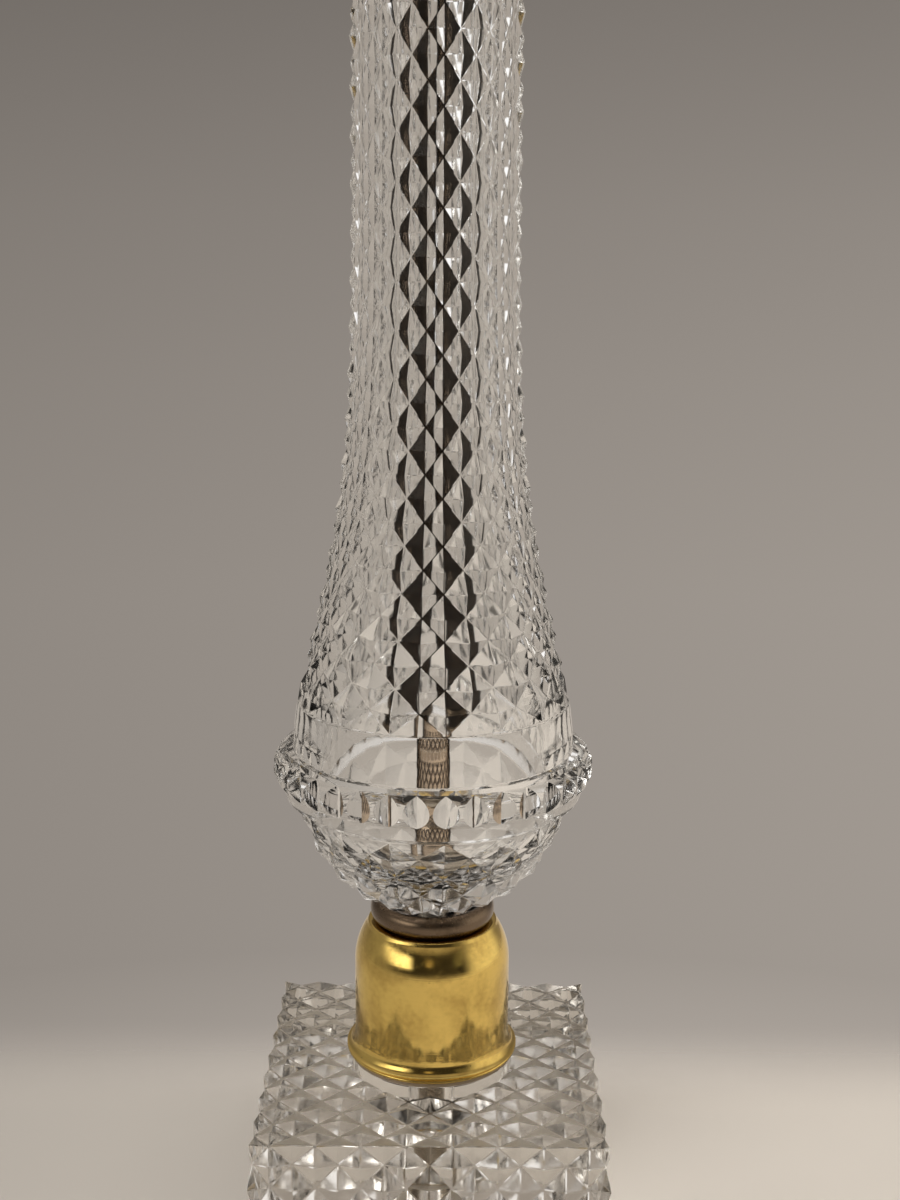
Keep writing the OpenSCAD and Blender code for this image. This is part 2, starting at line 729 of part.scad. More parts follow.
module harp_saddle() {
    half = leg_x + saddle_t/2;
    strip = concat(
        [[0, 0]],
        arc_points(half - bend_r, bend_r, bend_r, bend_r, -90, 0, 8),
        [[half, post_low - saddle_z], [half - saddle_t, post_low - saddle_z]],
        arc_points(half - bend_r, bend_r, bend_r - saddle_t, bend_r - saddle_t, 0, -90, 8),
        [[0, saddle_t]]);
    color("gold") difference() {
        union() {
            at(saddle_z) {
                for (side = [0, 1]) mirror([side, 0, 0]) rotate([90, 0, 0])
                    linear_extrude(saddle_w, center = true) polygon(strip);
                cylinder(h = saddle_t, d = neck_flange_d - 1);
            }
            for (side = [-1, 1]) translate([side*leg_x, 0, post_low - post_set_in]) {
                cylinder(h = post_grip + post_set_in, d = post_d);
                cylinder(h = post_grip + post_set_in + post_pin_h, d = post_pin_d);
            }
        }
        at(saddle_z - 1) cylinder(h = saddle_t + 2, r = rod_fit_r);
    }
}

// Harp: two socketed legs, a heel curve, a straight, a side curve and the crown.
// The side curves' centres and the crown's radius follow from a smooth join.
leg_gap = 0.1;
leg_z = post_z + leg_gap;
socket_h = post_pin_h + 0.6;
wire_set_in = 1;
leg_end_h = socket_h + wire_set_in + 0.8;
sleeve_room = 2;
heel_z = leg_z + leg_end_h + slide_travel + sleeve_room;
side_x = harp_w/2 - harp_side_r;
lean_x = side_x + harp_side_r*cos(harp_lean);
rise = (lean_x - leg_x - harp_heel_r*(1 - cos(harp_lean)))/sin(harp_lean);
side_z = heel_z + harp_heel_r*sin(harp_lean) + rise*cos(harp_lean) + harp_side_r*sin(harp_lean);
crown_r = lean_x/cos(harp_lean);
crown_z = side_z + (harp_side_r - crown_r)*sin(harp_lean);
stud_seat_z = crown_z + crown_r - wire_d/2;
stud_z = stud_seat_z + stud_seat_t;

// The wire's centre line, up the right leg, over the crown and down the left leg
crown_steps = 12;
half_line = concat(
    [[leg_x, leg_z + leg_end_h - wire_set_in]],
    arc_points(leg_x + harp_heel_r, heel_z, harp_heel_r, harp_heel_r, 180, 180 - harp_lean, 6),
    arc_points(side_x, side_z, harp_side_r, harp_side_r, -harp_lean, harp_lean, 20),
    [for (s = [1:crown_steps - 1]) let (a = harp_lean + (90 - harp_lean)*s/crown_steps)
        [crown_r*cos(a), crown_z + crown_r*sin(a)]]);
wire_line = concat(half_line, [[0, crown_z + crown_r]], [for (p = turned(half_line)) [-p[0], p[1]]]);

// Round wire swept along a line in the plane of the harp
module bent_wire(line) {
    sides = 16;
    last = len(line) - 1;
    points = [for (n = [0:last]) let (way = line[min(n + 1, last)] - line[max(n - 1, 0)], u = way/norm(way))
        for (k = [0:sides - 1]) let (a = 360*k/sides, out = wire_d/2*cos(a))
            [line[n][0] + out*u[1], wire_d/2*sin(a), line[n][1] - out*u[0]]];
    function index(n, k) = n*sides + k%sides;
    polyhedron(points = points, faces = concat(
        [[for (k = [0:sides - 1]) index(0, k)]],
        [[for (k = [sides - 1:-1:0]) index(last, k)]],
        [for (n = [0:last - 1], k = [0:sides - 1])
            each split_cell(index(n, k), index(n + 1, k), index(n + 1, k + 1), index(n, k + 1), true)]));
}

module harp() {
    color("gold") union() {
        bent_wire(wire_line);
        for (side = [-1, 1]) translate([side*leg_x, 0, leg_z]) difference() {
            cylinder(h = leg_end_h, d = post_d);
            at(-1) cylinder(h = socket_h + 1, d = post_pin_d + 2*run_gap);
        }
        at(stud_seat_z) cylinder(h = stud_seat_t, d = stud_seat_d);
        at(stud_seat_z) cylinder(h = stud_seat_t + stud_h, d = stud_d);
    }
}

// Sliding sleeve that locks one leg of the harp to its post
module leg_sleeve(side) {
    lift = 1;
    inner_r = post_d/2 + run_gap;
    color("gold") translate([side*leg_x, 0, 0])
        ring_piece(post_low + lift, slide_h, inner_r + slide_wall, inner_r);
}

module harp_sleeve_left() {
    leg_sleeve(-1);
}

module harp_sleeve_right() {
    leg_sleeve(1);
}

// Finial: a turned foot, a waist, a ball and a button, with a blind bore
module finial() {
    foot_t = 3;
    foot_edge = 0.8;
    button_h = 3;
    waist_wall = 2;
    waist_r = stud_d/2 + waist_wall;
    ball_r = finial_d/2;
    ball_at = finial_h - ball_r - button_h;
    waist_top = ball_at - sqrt(ball_r*ball_r - waist_r*waist_r);
    button_r = 3.4;
    color("gold") at(stud_z) difference() {
        rotate_extrude() union() {
            square([finial_foot_d/2, foot_t]);
            square([waist_r, ball_at]);
            polygon(concat([[0, foot_t]],
                arc_points(finial_foot_d/2 - foot_edge, waist_top, finial_foot_d/2 - foot_edge - waist_r,
                    waist_top - foot_t, 270, 180, 8), [[0, waist_top]]));
            intersection() {
                translate([0, ball_at]) circle(r = ball_r);
                square([ball_r, finial_h]);
            }
            intersection() {
                translate([0, finial_h - button_r]) circle(r = button_r);
                square([button_r, finial_h]);
            }
        }
        at(-1) cylinder(h = stud_h + 2, r = stud_d/2 + run_gap);
    }
}

// Lampholder, from the cap on the rod up to the screw shell
shell_r = shell_d/2;
shell_in_r = shell_r - shell_wall;
holder_cap_r = shell_r + fit_gap + shell_wall;
holder_hub_r = rod_r + 3;
shell_lap = 7;
shell_z = holder_z + holder_cap_h - shell_lap;
liner_rise = 0.5;
liner_z = shell_z + liner_rise;
liner_h = shell_h - 3;
liner_r = shell_in_r - fit_gap;
body_rise = 11;
body_z = holder_z + body_rise;
body_r = liner_r - liner_t - fit_gap;
screw_z = body_z + switch_body_h;
shaft_slot_w = shaft_d + 2*pass_gap + 2;
shaft_z = holder_z + holder_cap_h + shaft_slot_w/2;

module holder_cap() {
    hub_h = 7;
    foot_h = 2;
    bowl_h = 11;
    brim_z = foot_h + bowl_h;
    bowl_w = holder_cap_r - holder_hub_r;
    color("gold") at(holder_z) difference() {
        rotate_extrude() polygon(concat(
            [[0, 0], [holder_hub_r, 0], [holder_hub_r, foot_h]],
            arc_points(holder_hub_r, brim_z, bowl_w, bowl_h, -90, 0, 10),
            [[holder_cap_r, holder_cap_h], [holder_cap_r - shell_wall, holder_cap_h]],
            arc_points(holder_hub_r, brim_z, bowl_w - shell_wall, bowl_h - shell_wall, 0, -90, 10),
            [[holder_hub_r, hub_h], [0, hub_h]]));
        at(-1) cylinder(h = hub_h + 2, r = rod_fit_r);
    }
}

// Slot for the switch shaft, cut up from the lower edge of a tube at the front
module shaft_slot(low) {
    translate([-shaft_slot_w/2, -shell_r - 2, low - 1])
        cube([shaft_slot_w, shell_r, shaft_z + shaft_slot_w/2 - low + 1]);
}

module holder_shell() {
    bead = 0.9;
    color("gold") difference() {
        at(shell_z) rotate_extrude() union() {
            translate([shell_in_r, 0]) square([shell_wall, shell_h - bead]);
            translate([shell_in_r + bead/2, shell_h - bead]) circle(r = bead, $fn = 24);
        }
        shaft_slot(shell_z);
    }
}

module holder_liner() {
    color("wheat") difference() {
        ring_piece(liner_z, liner_h, liner_r, liner_r - liner_t);
        shaft_slot(liner_z);
    }
}

// Moulded switch body with a flat for each terminal and a bore for the shaft
flat_in = 3;
terminal_flat = body_r - flat_in;
terminal_rise = 5;
terminal_z = body_z + terminal_rise;

module switch_body() {
    rim_h = 3;
    cord_way = 4;
    color("black") difference() {
        union() {
            at(body_z) intersection() {
                cylinder(h = switch_body_h, r = body_r);
                translate([-terminal_flat, -body_r, 0]) cube([2*terminal_flat, 2*body_r, switch_body_h]);
            }
            at(screw_z - rim_h) cylinder(h = rim_h, r = body_r);
        }
        // Bore for the shaft, blind, from the front
        translate([0, 0, shaft_z]) rotate([90, 0, 0]) cylinder(h = body_r + 1, d = shaft_d + 2*run_gap);
        // Cord way up from the rod
        at(body_z - 1) cylinder(h = cord_way + 1, d = rod_bore_d);
    }
}

// Screw shell, with a rounded bottom round the contact's opening
module screw_shell() {
    inner_r = screw_bore_d/2;
    bottom_r = 4;
    opening_r = 8;
    color("gainsboro") at(screw_z) rotate_extrude() polygon(concat(
        [[opening_r, 0]],
        arc_points(inner_r - bottom_r, bottom_r + screw_wall, bottom_r + screw_wall,
            bottom_r + screw_wall, -90, 0, 6),
        [[inner_r + screw_wall, screw_h], [inner_r, screw_h]],
        arc_points(inner_r - bottom_r, bottom_r + screw_wall, bottom_r, bottom_r, 0, -90, 6),
        [[opening_r, screw_wall]]));
}

// Springy tongue in the bottom of the screw shell, riveted to the body
module centre_contact() {
    tongue_w = 5;
    tongue_t = 0.5;
    color("gold") at(screw_z) {
        rotate([90, 0, 0]) linear_extrude(tongue_w, center = true)
            polygon([[-6, 0], [-1.5, 0], [4, 3], [5.5, 2.4], [5.5, 2.4 + tongue_t],
                [4, 3 + tongue_t], [-1.7, tongue_t], [-6, tongue_t]]);
        translate([-4, 0, 0]) cylinder(h = 1.2, d = 3);
    }
}

module terminal_screws() {
    head_h = 1.8;
    head_d = 6;
    slot_w = 1;
    slot_low = 1;
    color("gold") for (side = [-1, 1]) translate([side*terminal_flat, 0, terminal_z])
        rotate([0, side*90, 0]) difference() {
            cylinder(h = head_h, d = head_d);
            translate([-head_d, -slot_w/2, slot_low]) cube([2*head_d, slot_w, head_h]);
        }
}

// Knob and shaft turn together about a level line through the body
knob_stand_off = 5.5;
knob_face = shell_r + knob_stand_off;
knob_bore = 4;

module switch_shaft() {
    depth = 8;
    color("silver") translate([0, -body_r + depth, shaft_z]) rotate([90, 0, 0])
        cylinder(h = knob_face + knob_bore - body_r + depth, d = shaft_d);
}

module switch_knob() {
    hub_len = 4;
    hub_wall = 1.6;
    hub_draft = 0.4;
    root_out = 0.6;
    hub_r = shaft_d/2 + hub_wall;
    color("black") translate([0, -knob_face, shaft_z]) rotate([90, 0, 0]) difference() {
        union() {
            cylinder(h = hub_len, r1 = hub_r, r2 = hub_r + hub_draft);
            intersection() {
                at(hub_len/2) cylinder(h = knob_len - hub_len/2, d = knob_d);
                union() {
                    translate([-knob_d/2, -knob_grip_t/2, 0]) cube([knob_d, knob_grip_t, knob_len]);
                    at(hub_len/2) cylinder(h = hub_len, r = hub_r + root_out);
                }
            }
        }
        at(-1) cylinder(h = knob_bore + 1, d = shaft_d);
    }
}

base_crystal();
base_felt();
base_washer();
base_lock_washer();
base_nut();
cord_bushing();
cup_washer();
brass_cup();
seating_ring();
foot_washer();
column_crystal();
threaded_rod();
bowl_washer();
bowl_nut();
lower_sleeve();
sleeve_collar();
upper_sleeve();
top_gasket();
top_cap();
neck();
harp_saddle();
harp();
harp_sleeve_left();
harp_sleeve_right();
finial();
holder_cap();
holder_shell();
holder_liner();
switch_body();
screw_shell();
centre_contact();
terminal_screws();
switch_shaft();
switch_knob();
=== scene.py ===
import json
import math

import bmesh
import bpy
from mathutils import Matrix, Vector


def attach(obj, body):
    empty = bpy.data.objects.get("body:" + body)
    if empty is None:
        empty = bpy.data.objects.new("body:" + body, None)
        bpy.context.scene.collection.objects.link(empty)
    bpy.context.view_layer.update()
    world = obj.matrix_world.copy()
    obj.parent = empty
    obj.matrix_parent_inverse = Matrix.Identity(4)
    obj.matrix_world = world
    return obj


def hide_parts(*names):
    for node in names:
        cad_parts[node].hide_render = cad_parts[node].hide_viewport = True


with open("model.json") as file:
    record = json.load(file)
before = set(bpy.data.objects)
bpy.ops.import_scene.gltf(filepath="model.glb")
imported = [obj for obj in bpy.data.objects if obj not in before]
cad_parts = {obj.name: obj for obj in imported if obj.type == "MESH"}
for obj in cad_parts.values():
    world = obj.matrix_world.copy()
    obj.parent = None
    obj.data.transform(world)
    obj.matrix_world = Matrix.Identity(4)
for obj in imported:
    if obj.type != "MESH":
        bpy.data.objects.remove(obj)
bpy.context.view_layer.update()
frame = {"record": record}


# The photograph was taken a little over half a metre in front of the lamp, from the
# height of the column's middle, looking down past the collar ring at the brass cup.
camera = bpy.data.objects.new("photo_camera", bpy.data.cameras.new("photo_camera"))
camera.data.sensor_width = 36.0
camera.data.lens = 48.0
camera.data.clip_start = 0.02
look_down = Matrix.Rotation(math.radians(90.0 - 12.7), 4, "X")
lean = Matrix.Rotation(math.radians(0.45), 4, "Z")
camera.matrix_world = Matrix.Translation((0.0057, -0.560, 0.3546)) @ look_down @ lean
bpy.context.scene.collection.objects.link(camera)
bpy.context.scene.camera = camera
bpy.context.scene.view_settings.view_transform = "Standard"


# The lamp stands on a pale table in front of a warm grey studio wall that darkens
# upwards. One large soft lamp hangs at the front left, a weaker one at the right, and a
# small one behind puts sparks into the cut edges.
class Gauge:
    """A value inside a node tree, so that a rule can be written as a plain sum."""

    def __init__(self, tree, socket):
        self.tree = tree
        self.socket = socket

    def other(self, name):
        return Gauge(self.tree, self.socket.node.outputs[name])

    def by(self, operation, *others):
        return put(self.tree, "ShaderNodeMath", dict(enumerate((self, *others))), operation=operation)

    def __add__(self, other):
        return self.by("ADD", other)

    def __sub__(self, other):
        return self.by("SUBTRACT", other)

    def __rsub__(self, other):
        return (self * -1.0).by("ADD", other)

    def __mul__(self, other):
        return self.by("MULTIPLY", other)

    def __truediv__(self, other):
        return self.by("DIVIDE", other)

    def __pow__(self, power):
        return self.by("POWER", power)

    __radd__ = __add__
    __rmul__ = __mul__


def feed(socket, value):
    """Gives a socket a plain value, or links another node's output to it."""
    if isinstance(value, Gauge):
        value.tree.links.new(value.socket, socket)
    else:
        socket.default_value = value


def put(tree, kind, feeds=None, out=0, **options):
    """Puts a node into a tree, sets its options and inputs, and returns one of its outputs."""
    node = tree.nodes.new(kind)
    for name, value in options.items():
        setattr(node, name, value)
    for name, value in (feeds or {}).items():
        feed(node.inputs[name], value)
    return Gauge(tree, node.outputs[out])


def mixed(tree, share, first, second):
    """A colour between two others."""
    return put(tree, "ShaderNodeMix", {0: share, 6: first, 7: second}, out=2, data_type="RGBA")


def eased_step(gauge, low, high):
    """0 below low, 1 above high, and smooth between them."""
    return put(gauge.tree, "ShaderNodeMapRange", {0: gauge, 1: low, 2: high},
               interpolation_type="SMOOTHSTEP")


wall_tones = {-90: 0.46, -31: 0.46, -28: 0.34, -25: 0.285, -12: 0.28, -5: 0.255, 1: 0.225, 8: 0.175,
              14: 0.16, 25: 0.24, 40: 0.32, 90: 0.32}
room_tones = {-90: 0.62, -30: 0.55, -14: 0.42, -6: 0.26, -1: 0.03, 30: 0.035, 36: 0.30, 48: 0.38,
              62: 0.20, 90: 0.10}
wall_tint = (1.115, 1.0, 0.895)


def tone_ramp(tree, rise, tones):
    """A warm grey that changes with the height in degrees above the horizon."""
    ramp = put(tree, "ShaderNodeValToRGB", {0: rise * 0.5 + 0.5})
    stops = ramp.socket.node.color_ramp.elements
    for number, (angle, tone) in enumerate(tones.items()):
        place = math.sin(math.radians(angle)) * 0.5 + 0.5
        stop = stops[0] if number == 0 else stops.new(place)
        stop.position = place
        stop.color = [tone * part for part in wall_tint] + [1.0]
    stops.remove(stops[-1])
    return ramp


studio = bpy.data.worlds.new("studio_wall")
studio.use_nodes = True
bpy.context.scene.world = studio
tree = studio.node_tree
tree.nodes.clear()
direction = put(tree, "ShaderNodeTexCoord", out="Generated")
across = put(tree, "ShaderNodeSeparateXYZ", {0: direction}, out="X")
away = across.other("Y")
rise = across.other("Z")
wall = tone_ramp(tree, rise, wall_tones)
front = 1.0 - eased_step(away, -0.30, 0.30)
room = mixed(tree, front, wall, tone_ramp(tree, rise, room_tones))
sides = (1.0 - eased_step(away.by("ABSOLUTE"), 0.25, 0.75)) * (1.0 - eased_step(rise, 0.35, 0.7))
room = mixed(tree, sides * eased_step(across * -1.0, 0.6, 1.0), room, (0.30, 0.28, 0.25, 1.0))
room = mixed(tree, sides * eased_step(across, 0.5, 0.95), room, (0.46, 0.43, 0.38, 1.0))


def pane(left, right, low, high, soft):
    """A soft-edged pane of light in the room in front of the lamp."""
    wide = eased_step(across, left - soft, left + soft) * (1.0 - eased_step(across, right - soft, right + soft))
    tall = eased_step(rise, low - soft * 0.5, low + soft * 0.5) * (1.0 - eased_step(rise, high - soft * 0.5,
                                                                                   high + soft * 0.5))
    return wide * tall * (1.0 - eased_step(away, -0.25, 0.05))


room = mixed(tree, pane(-0.90, -0.52, 0.10, 0.42, 0.12), room, (2.2, 2.1, 1.9, 1.0))
room = mixed(tree, pane(-0.13, 0.02, 0.22, 0.40, 0.07), room, (0.55, 0.45, 0.30, 1.0))
room = mixed(tree, pane(0.55, 0.72, 0.16, 0.50, 0.07) * 0.6, room, (0.26, 0.25, 0.20, 1.0))
seen = put(tree, "ShaderNodeLightPath", out="Is Camera Ray")
through = seen.other("Is Transmission Ray")
right = sides * eased_step(across, 0.5, 0.95)
light = mixed(tree, seen.other("Is Glossy Ray"), (0.50, 0.47, 0.43, 1.0), mixed(tree, right, room, (0.9, 0.84, 0.74, 1.0)))
ahead = 1.0 - eased_step(away, -0.90, -0.30)
haze = 0.6 - 0.38 * ahead
light = mixed(tree, through, light, mixed(tree, haze, room, (0.49, 0.43, 0.365, 1.0)))
floor = (1.0 - eased_step(away, 0.3, 0.75)) * (1.0 - eased_step(rise, -0.36, -0.1))
light = mixed(tree, seen, light, mixed(tree, floor, wall, (0.53, 0.48, 0.42, 1.0)))
glow = put(tree, "ShaderNodeBackground", {"Color": light, "Strength": 1.0 + across * seen * 0.4})
feed(tree.nodes.new("ShaderNodeOutputWorld").inputs["Surface"], glow)

table_mesh = bpy.data.meshes.new("table_top")
shape = bmesh.new()
bmesh.ops.create_circle(shape, cap_ends=True, segments=96, radius=1.1)
bmesh.ops.translate(shape, verts=shape.verts, vec=(0.0, 0.0, -0.0003))
shape.to_mesh(table_mesh)
shape.free()
table_top = bpy.data.objects.new("table_top", table_mesh)
bpy.context.scene.collection.objects.link(table_top)
table_paint = bpy.data.materials.new("pale_table")
table_paint.use_nodes = True
tree = table_paint.node_tree
paint = tree.nodes["Principled BSDF"]
point = put(tree, "ShaderNodeTexCoord", out="Object")
far = put(tree, "ShaderNodeVectorMath", {0: point}, out="Value", operation="LENGTH")
behind = put(tree, "ShaderNodeSeparateXYZ", {0: point}, out="Y")
cloud = put(tree, "ShaderNodeTexNoise", {"Vector": point, "Scale": 9.0, "Detail": 3.0})
pale = mixed(tree, cloud, (0.80, 0.75, 0.70, 1.0), (0.86, 0.81, 0.75, 1.0))
# Painted shade: the table's colour darkens from right to left, as the light falls across it.
painted_light_across = eased_step(behind.other("X"), -0.42, 0.14)
feed(paint.inputs["Base Color"], mixed(tree, painted_light_across, (0.48, 0.455, 0.43, 1.0), pale))
feed(paint.inputs["Roughness"], 0.55 + 0.1 * cloud)
seen = put(tree, "ShaderNodeLightPath", out="Is Camera Ray")
back_edge = eased_step(behind, 0.045, 0.125) * seen
feed(paint.inputs["Alpha"], (1.0 - eased_step(far, 0.45, 1.05)) * (1.0 - back_edge))
table_mesh.materials.append(table_paint)


def softbox(name, place, width, power, tint, through_glass=True):
    """A round soft lamp that faces the middle of the column."""
    lamp = bpy.data.lights.new(name, "AREA")
    lamp.shape = "DISK"
    lamp.size = width
    lamp.energy = power
    lamp.color = tint
    hung = bpy.data.objects.new(name, lamp)
    hung.location = place
    hung.rotation_mode = "QUATERNION"
    hung.rotation_quaternion = (Vector((0.0, 0.0, 0.28)) - Vector(place)).to_track_quat("-Z", "Y")
    hung.visible_glossy = False
    hung.visible_transmission = through_glass
    bpy.context.scene.collection.objects.link(hung)


softbox("key_lamp", (-1.15, -0.85, 1.05), 1.20, 10.0, (1.0, 0.97, 0.92))
softbox("side_lamp", (1.25, -0.30, 0.80), 1.50, 6.0, (1.0, 0.93, 0.83), through_glass=False)
softbox("back_lamp", (0.55, 1.10, 1.00), 0.80, 1.2, (0.93, 0.96, 1.0))


# Base: a square block of lead crystal, pressed and then cut with two crossing rows of
# grooves, so that it is covered with pointed diamonds. A round boss is ground flat for
# the cup, and holes are drilled for the rod, its nut and the cord.
MM = 0.001
body_of = {node: body for body, nodes in frame["record"]["behaviour"]["bodies"].items() for node in nodes}


def maker(name, sizes, takes_shape=False):
    """Starts a Geometry Nodes tree whose named inputs are the sizes of what it makes."""
    tree = bpy.data.node_groups.new(name, "GeometryNodeTree")
    face = tree.interface
    if takes_shape:
        face.new_socket("Shape", in_out="INPUT", socket_type="NodeSocketGeometry")
    face.new_socket("Material", in_out="INPUT", socket_type="NodeSocketMaterial")
    for label, value in sizes.items():
        kind = "NodeSocketInt" if isinstance(value, int) else "NodeSocketFloat"
        face.new_socket(label, in_out="INPUT", socket_type=kind).default_value = value
    face.new_socket("Geometry", in_out="OUTPUT", socket_type="NodeSocketGeometry")
    start = tree.nodes.new("NodeGroupInput")
    return tree, {socket.name: Gauge(tree, socket) for socket in start.outputs if socket.name}


def hand_over(tree, size, shape):
    """Ends a Geometry Nodes tree with a plain mesh in its material."""
    solid = put(tree, "GeometryNodeRealizeInstances", {"Geometry": shape})
    painted = put(tree, "GeometryNodeSetMaterial", {"Geometry": solid, "Material": size["Material"]})
    feed(tree.nodes.new("NodeGroupOutput").inputs[0], painted)


def kept(shape, label, value):
    """Keeps a value on the points of a shape, and returns the shape and the value."""
    node = shape.tree.nodes.new("GeometryNodeCaptureAttribute")
    node.capture_items.new("VECTOR", label)
    feed(node.inputs["Geometry"], shape)
    feed(node.inputs[label], value)
    return Gauge(shape.tree, node.outputs["Geometry"]), Gauge(shape.tree, node.outputs[label])


def xyz(tree, x, y, z):
    return put(tree, "ShaderNodeCombineXYZ", {"X": x, "Y": y, "Z": z})


def parts_of(vector):
    x = put(vector.tree, "ShaderNodeSeparateXYZ", {0: vector}, out="X")
    return x, x.other("Y"), x.other("Z")


def on_bench(mesh):
    """Puts a mesh into the scene while modifiers work on it."""
    work = bpy.data.objects.new("on_bench", mesh)
    bpy.context.scene.collection.objects.link(work)
    return work


def off_bench(work):
    """Takes the finished mesh from its object, with all modifiers applied."""
    bpy.context.view_layer.update()
    graph = bpy.context.evaluated_depsgraph_get()
    mesh = bpy.data.meshes.new_from_object(work.evaluated_get(graph), depsgraph=graph)
    bpy.data.objects.remove(work)
    return mesh


def made_by(tree, material=None, shape=None, **sizes):
    """Runs a Geometry Nodes tree, and returns its result as a plain mesh."""
    work = on_bench(shape or bpy.data.meshes.new("blank"))
    modifier = work.modifiers.new("maker", "NODES")
    modifier.node_group = tree
    given = {"Material": material, **{label.replace("_", " "): value for label, value in sizes.items()}}
    for item in tree.interface.items_tree:
        if item.in_out == "INPUT" and given.get(item.name) is not None:
            modifier[item.identifier] = given[item.name]
    return off_bench(work)


def facing_out(mesh):
    """Turns all faces of a closed mesh outwards."""
    shape = bmesh.new()
    shape.from_mesh(mesh)
    bmesh.ops.recalc_face_normals(shape, faces=shape.faces)
    shape.to_mesh(mesh)
    shape.free()
    return mesh


def bevelled(mesh, width, angle=12.0, steps=1):
    work = on_bench(mesh)
    bevel = work.modifiers.new("bevel", "BEVEL")
    bevel.width = width
    bevel.segments = steps
    bevel.limit_method = "ANGLE"
    bevel.angle_limit = math.radians(angle)
    return off_bench(work)


def shaped(mesh, *steps):
    """Joins other solids to a mesh, or cuts them out of it, one after another."""
    work = on_bench(mesh)
    tools = []
    for operation, other in steps:
        tool = on_bench(other)
        tools.append(tool)
        cut = work.modifiers.new("cut", "BOOLEAN")
        cut.solver = "MANIFOLD"
        cut.operation = operation
        cut.object = tool
    result = off_bench(work)
    for tool in tools:
        bpy.data.objects.remove(tool)
    return result


def arc(x, z, across, up, start, end, steps=12):
    """Points along an arc of an ellipse."""
    turns = [math.radians(start + (end - start) * n / steps) for n in range(steps + 1)]
    return [(x + across * math.cos(a), z + up * math.sin(a)) for a in turns]


def eased(outline, ease, steps=3):
    """Rounds the corners of a closed outline, apart from those on the axis."""
    result = []
    for n, corner in enumerate(outline):
        here = Vector(corner)
        back = Vector(outline[n - 1]) - here
        ahead = Vector(outline[(n + 1) % len(outline)]) - here
        turn = back.angle(ahead)
        cut = min(ease / math.tan(turn / 2.0), 0.45 * back.length, 0.45 * ahead.length)
        if turn > math.radians(152.0) or corner[0] < 1e-6:
            result.append(tuple(corner))
            continue
        start = here + back.normalized() * cut
        end = here + ahead.normalized() * cut
        for s in range(steps + 1):
            t = s / steps
            result.append(tuple((1 - t) ** 2 * start + 2 * t * (1 - t) * here + t ** 2 * end))
    return result


def lathe(outline, steps=96):
    """Turns a closed outline of radii and heights into a solid round the Z axis."""
    shape = bmesh.new()
    rings = []
    for radius, height in outline:
        if radius < 1e-6:
            rings.append([shape.verts.new((0.0, 0.0, height))] * steps)
            continue
        turns = [2.0 * math.pi * n / steps for n in range(steps)]
        rings.append([shape.verts.new((radius * math.cos(a), radius * math.sin(a), height)) for a in turns])
    for low, high in zip(rings, rings[1:] + rings[:1]):
        for n in range(steps):
            corners = [low[n], low[(n + 1) % steps], high[(n + 1) % steps], high[n]]
            corners = [c for s, c in enumerate(corners) if c is not corners[s - 1]]
            if len(corners) > 2:
                shape.faces.new(corners)
    mesh = bpy.data.meshes.new("turned")
    shape.to_mesh(mesh)
    shape.free()
    return facing_out(mesh)


def prism(outline, low, high):
    """A flat closed outline of x and y, raised from one height to another."""
    shape = bmesh.new()
    ends = [[shape.verts.new((x, y, z)) for x, y in outline] for z in (low, high)]
    shape.faces.new(ends[0])
    shape.faces.new(ends[1])
    for n in range(len(outline)):
        shape.faces.new([ends[0][n - 1], ends[0][n], ends[1][n], ends[1][n - 1]])
    mesh = bpy.data.meshes.new("raised")
    shape.to_mesh(mesh)
    shape.free()
    return facing_out(mesh)


def tube(outer, inner, low, high, ease=0.25, steps=96):
    """A ring or washer with its edges broken."""
    return lathe(eased([(inner, low), (outer, low), (outer, high), (inner, high)], ease), steps)


def rod_of(radius, low, high, steps=96):
    """A plain round bar, mostly used as a drill."""
    return lathe([(0.0, low), (radius, low), (radius, high), (0.0, high)], steps)


def turned_to(mesh, matrix):
    mesh.transform(matrix)
    return mesh


def merged(*meshes):
    """Several loose parts of one piece in one mesh."""
    shape = bmesh.new()
    for mesh in meshes:
        shape.from_mesh(mesh)
    mesh = bpy.data.meshes.new("merged")
    shape.to_mesh(mesh)
    shape.free()
    return mesh


def fitted(node, mesh, material, crease=32.0, name=None):
    """Puts a piece made in millimetres in the place of its CAD node."""
    shape = bmesh.new()
    shape.from_mesh(mesh)
    bmesh.ops.dissolve_degenerate(shape, edges=shape.edges, dist=1e-5)
    bmesh.ops.scale(shape, verts=shape.verts, vec=(MM, MM, MM))
    for face in shape.faces:
        face.smooth = True
        face.material_index = 0
    for edge in shape.edges:
        edge.smooth = len(edge.link_faces) == 2 and edge.calc_face_angle() < math.radians(crease)
    shape.to_mesh(mesh)
    shape.free()
    work = on_bench(mesh)
    work.modifiers.new("level", "WEIGHTED_NORMAL").keep_sharp = True
    mesh = off_bench(work)
    mesh.materials.clear()
    mesh.materials.append(material)
    piece = bpy.data.objects.new(name or node + "_piece", mesh)
    bpy.context.scene.collection.objects.link(piece)
    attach(piece, body_of[node])
    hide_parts(node)
    return piece


def effect(name, settings, *results):
    """Starts a shader node group that several finishes share."""
    tree = bpy.data.node_groups.new(name, "ShaderNodeTree")
    for label, value in settings.items():
        tree.interface.new_socket(label, in_out="INPUT", socket_type="NodeSocketFloat").default_value = value
    for label in results:
        tree.interface.new_socket(label, in_out="OUTPUT", socket_type="NodeSocketFloat")
    start = tree.nodes.new("NodeGroupInput")
    return tree, {s.name: Gauge(tree, s) for s in start.outputs if s.name}, tree.nodes.new("NodeGroupOutput")


def noise(tree, where, scale, detail=2.0, **more):
    return put(tree, "ShaderNodeTexNoise", {"Vector": where, "Scale": scale, "Detail": detail, **more})


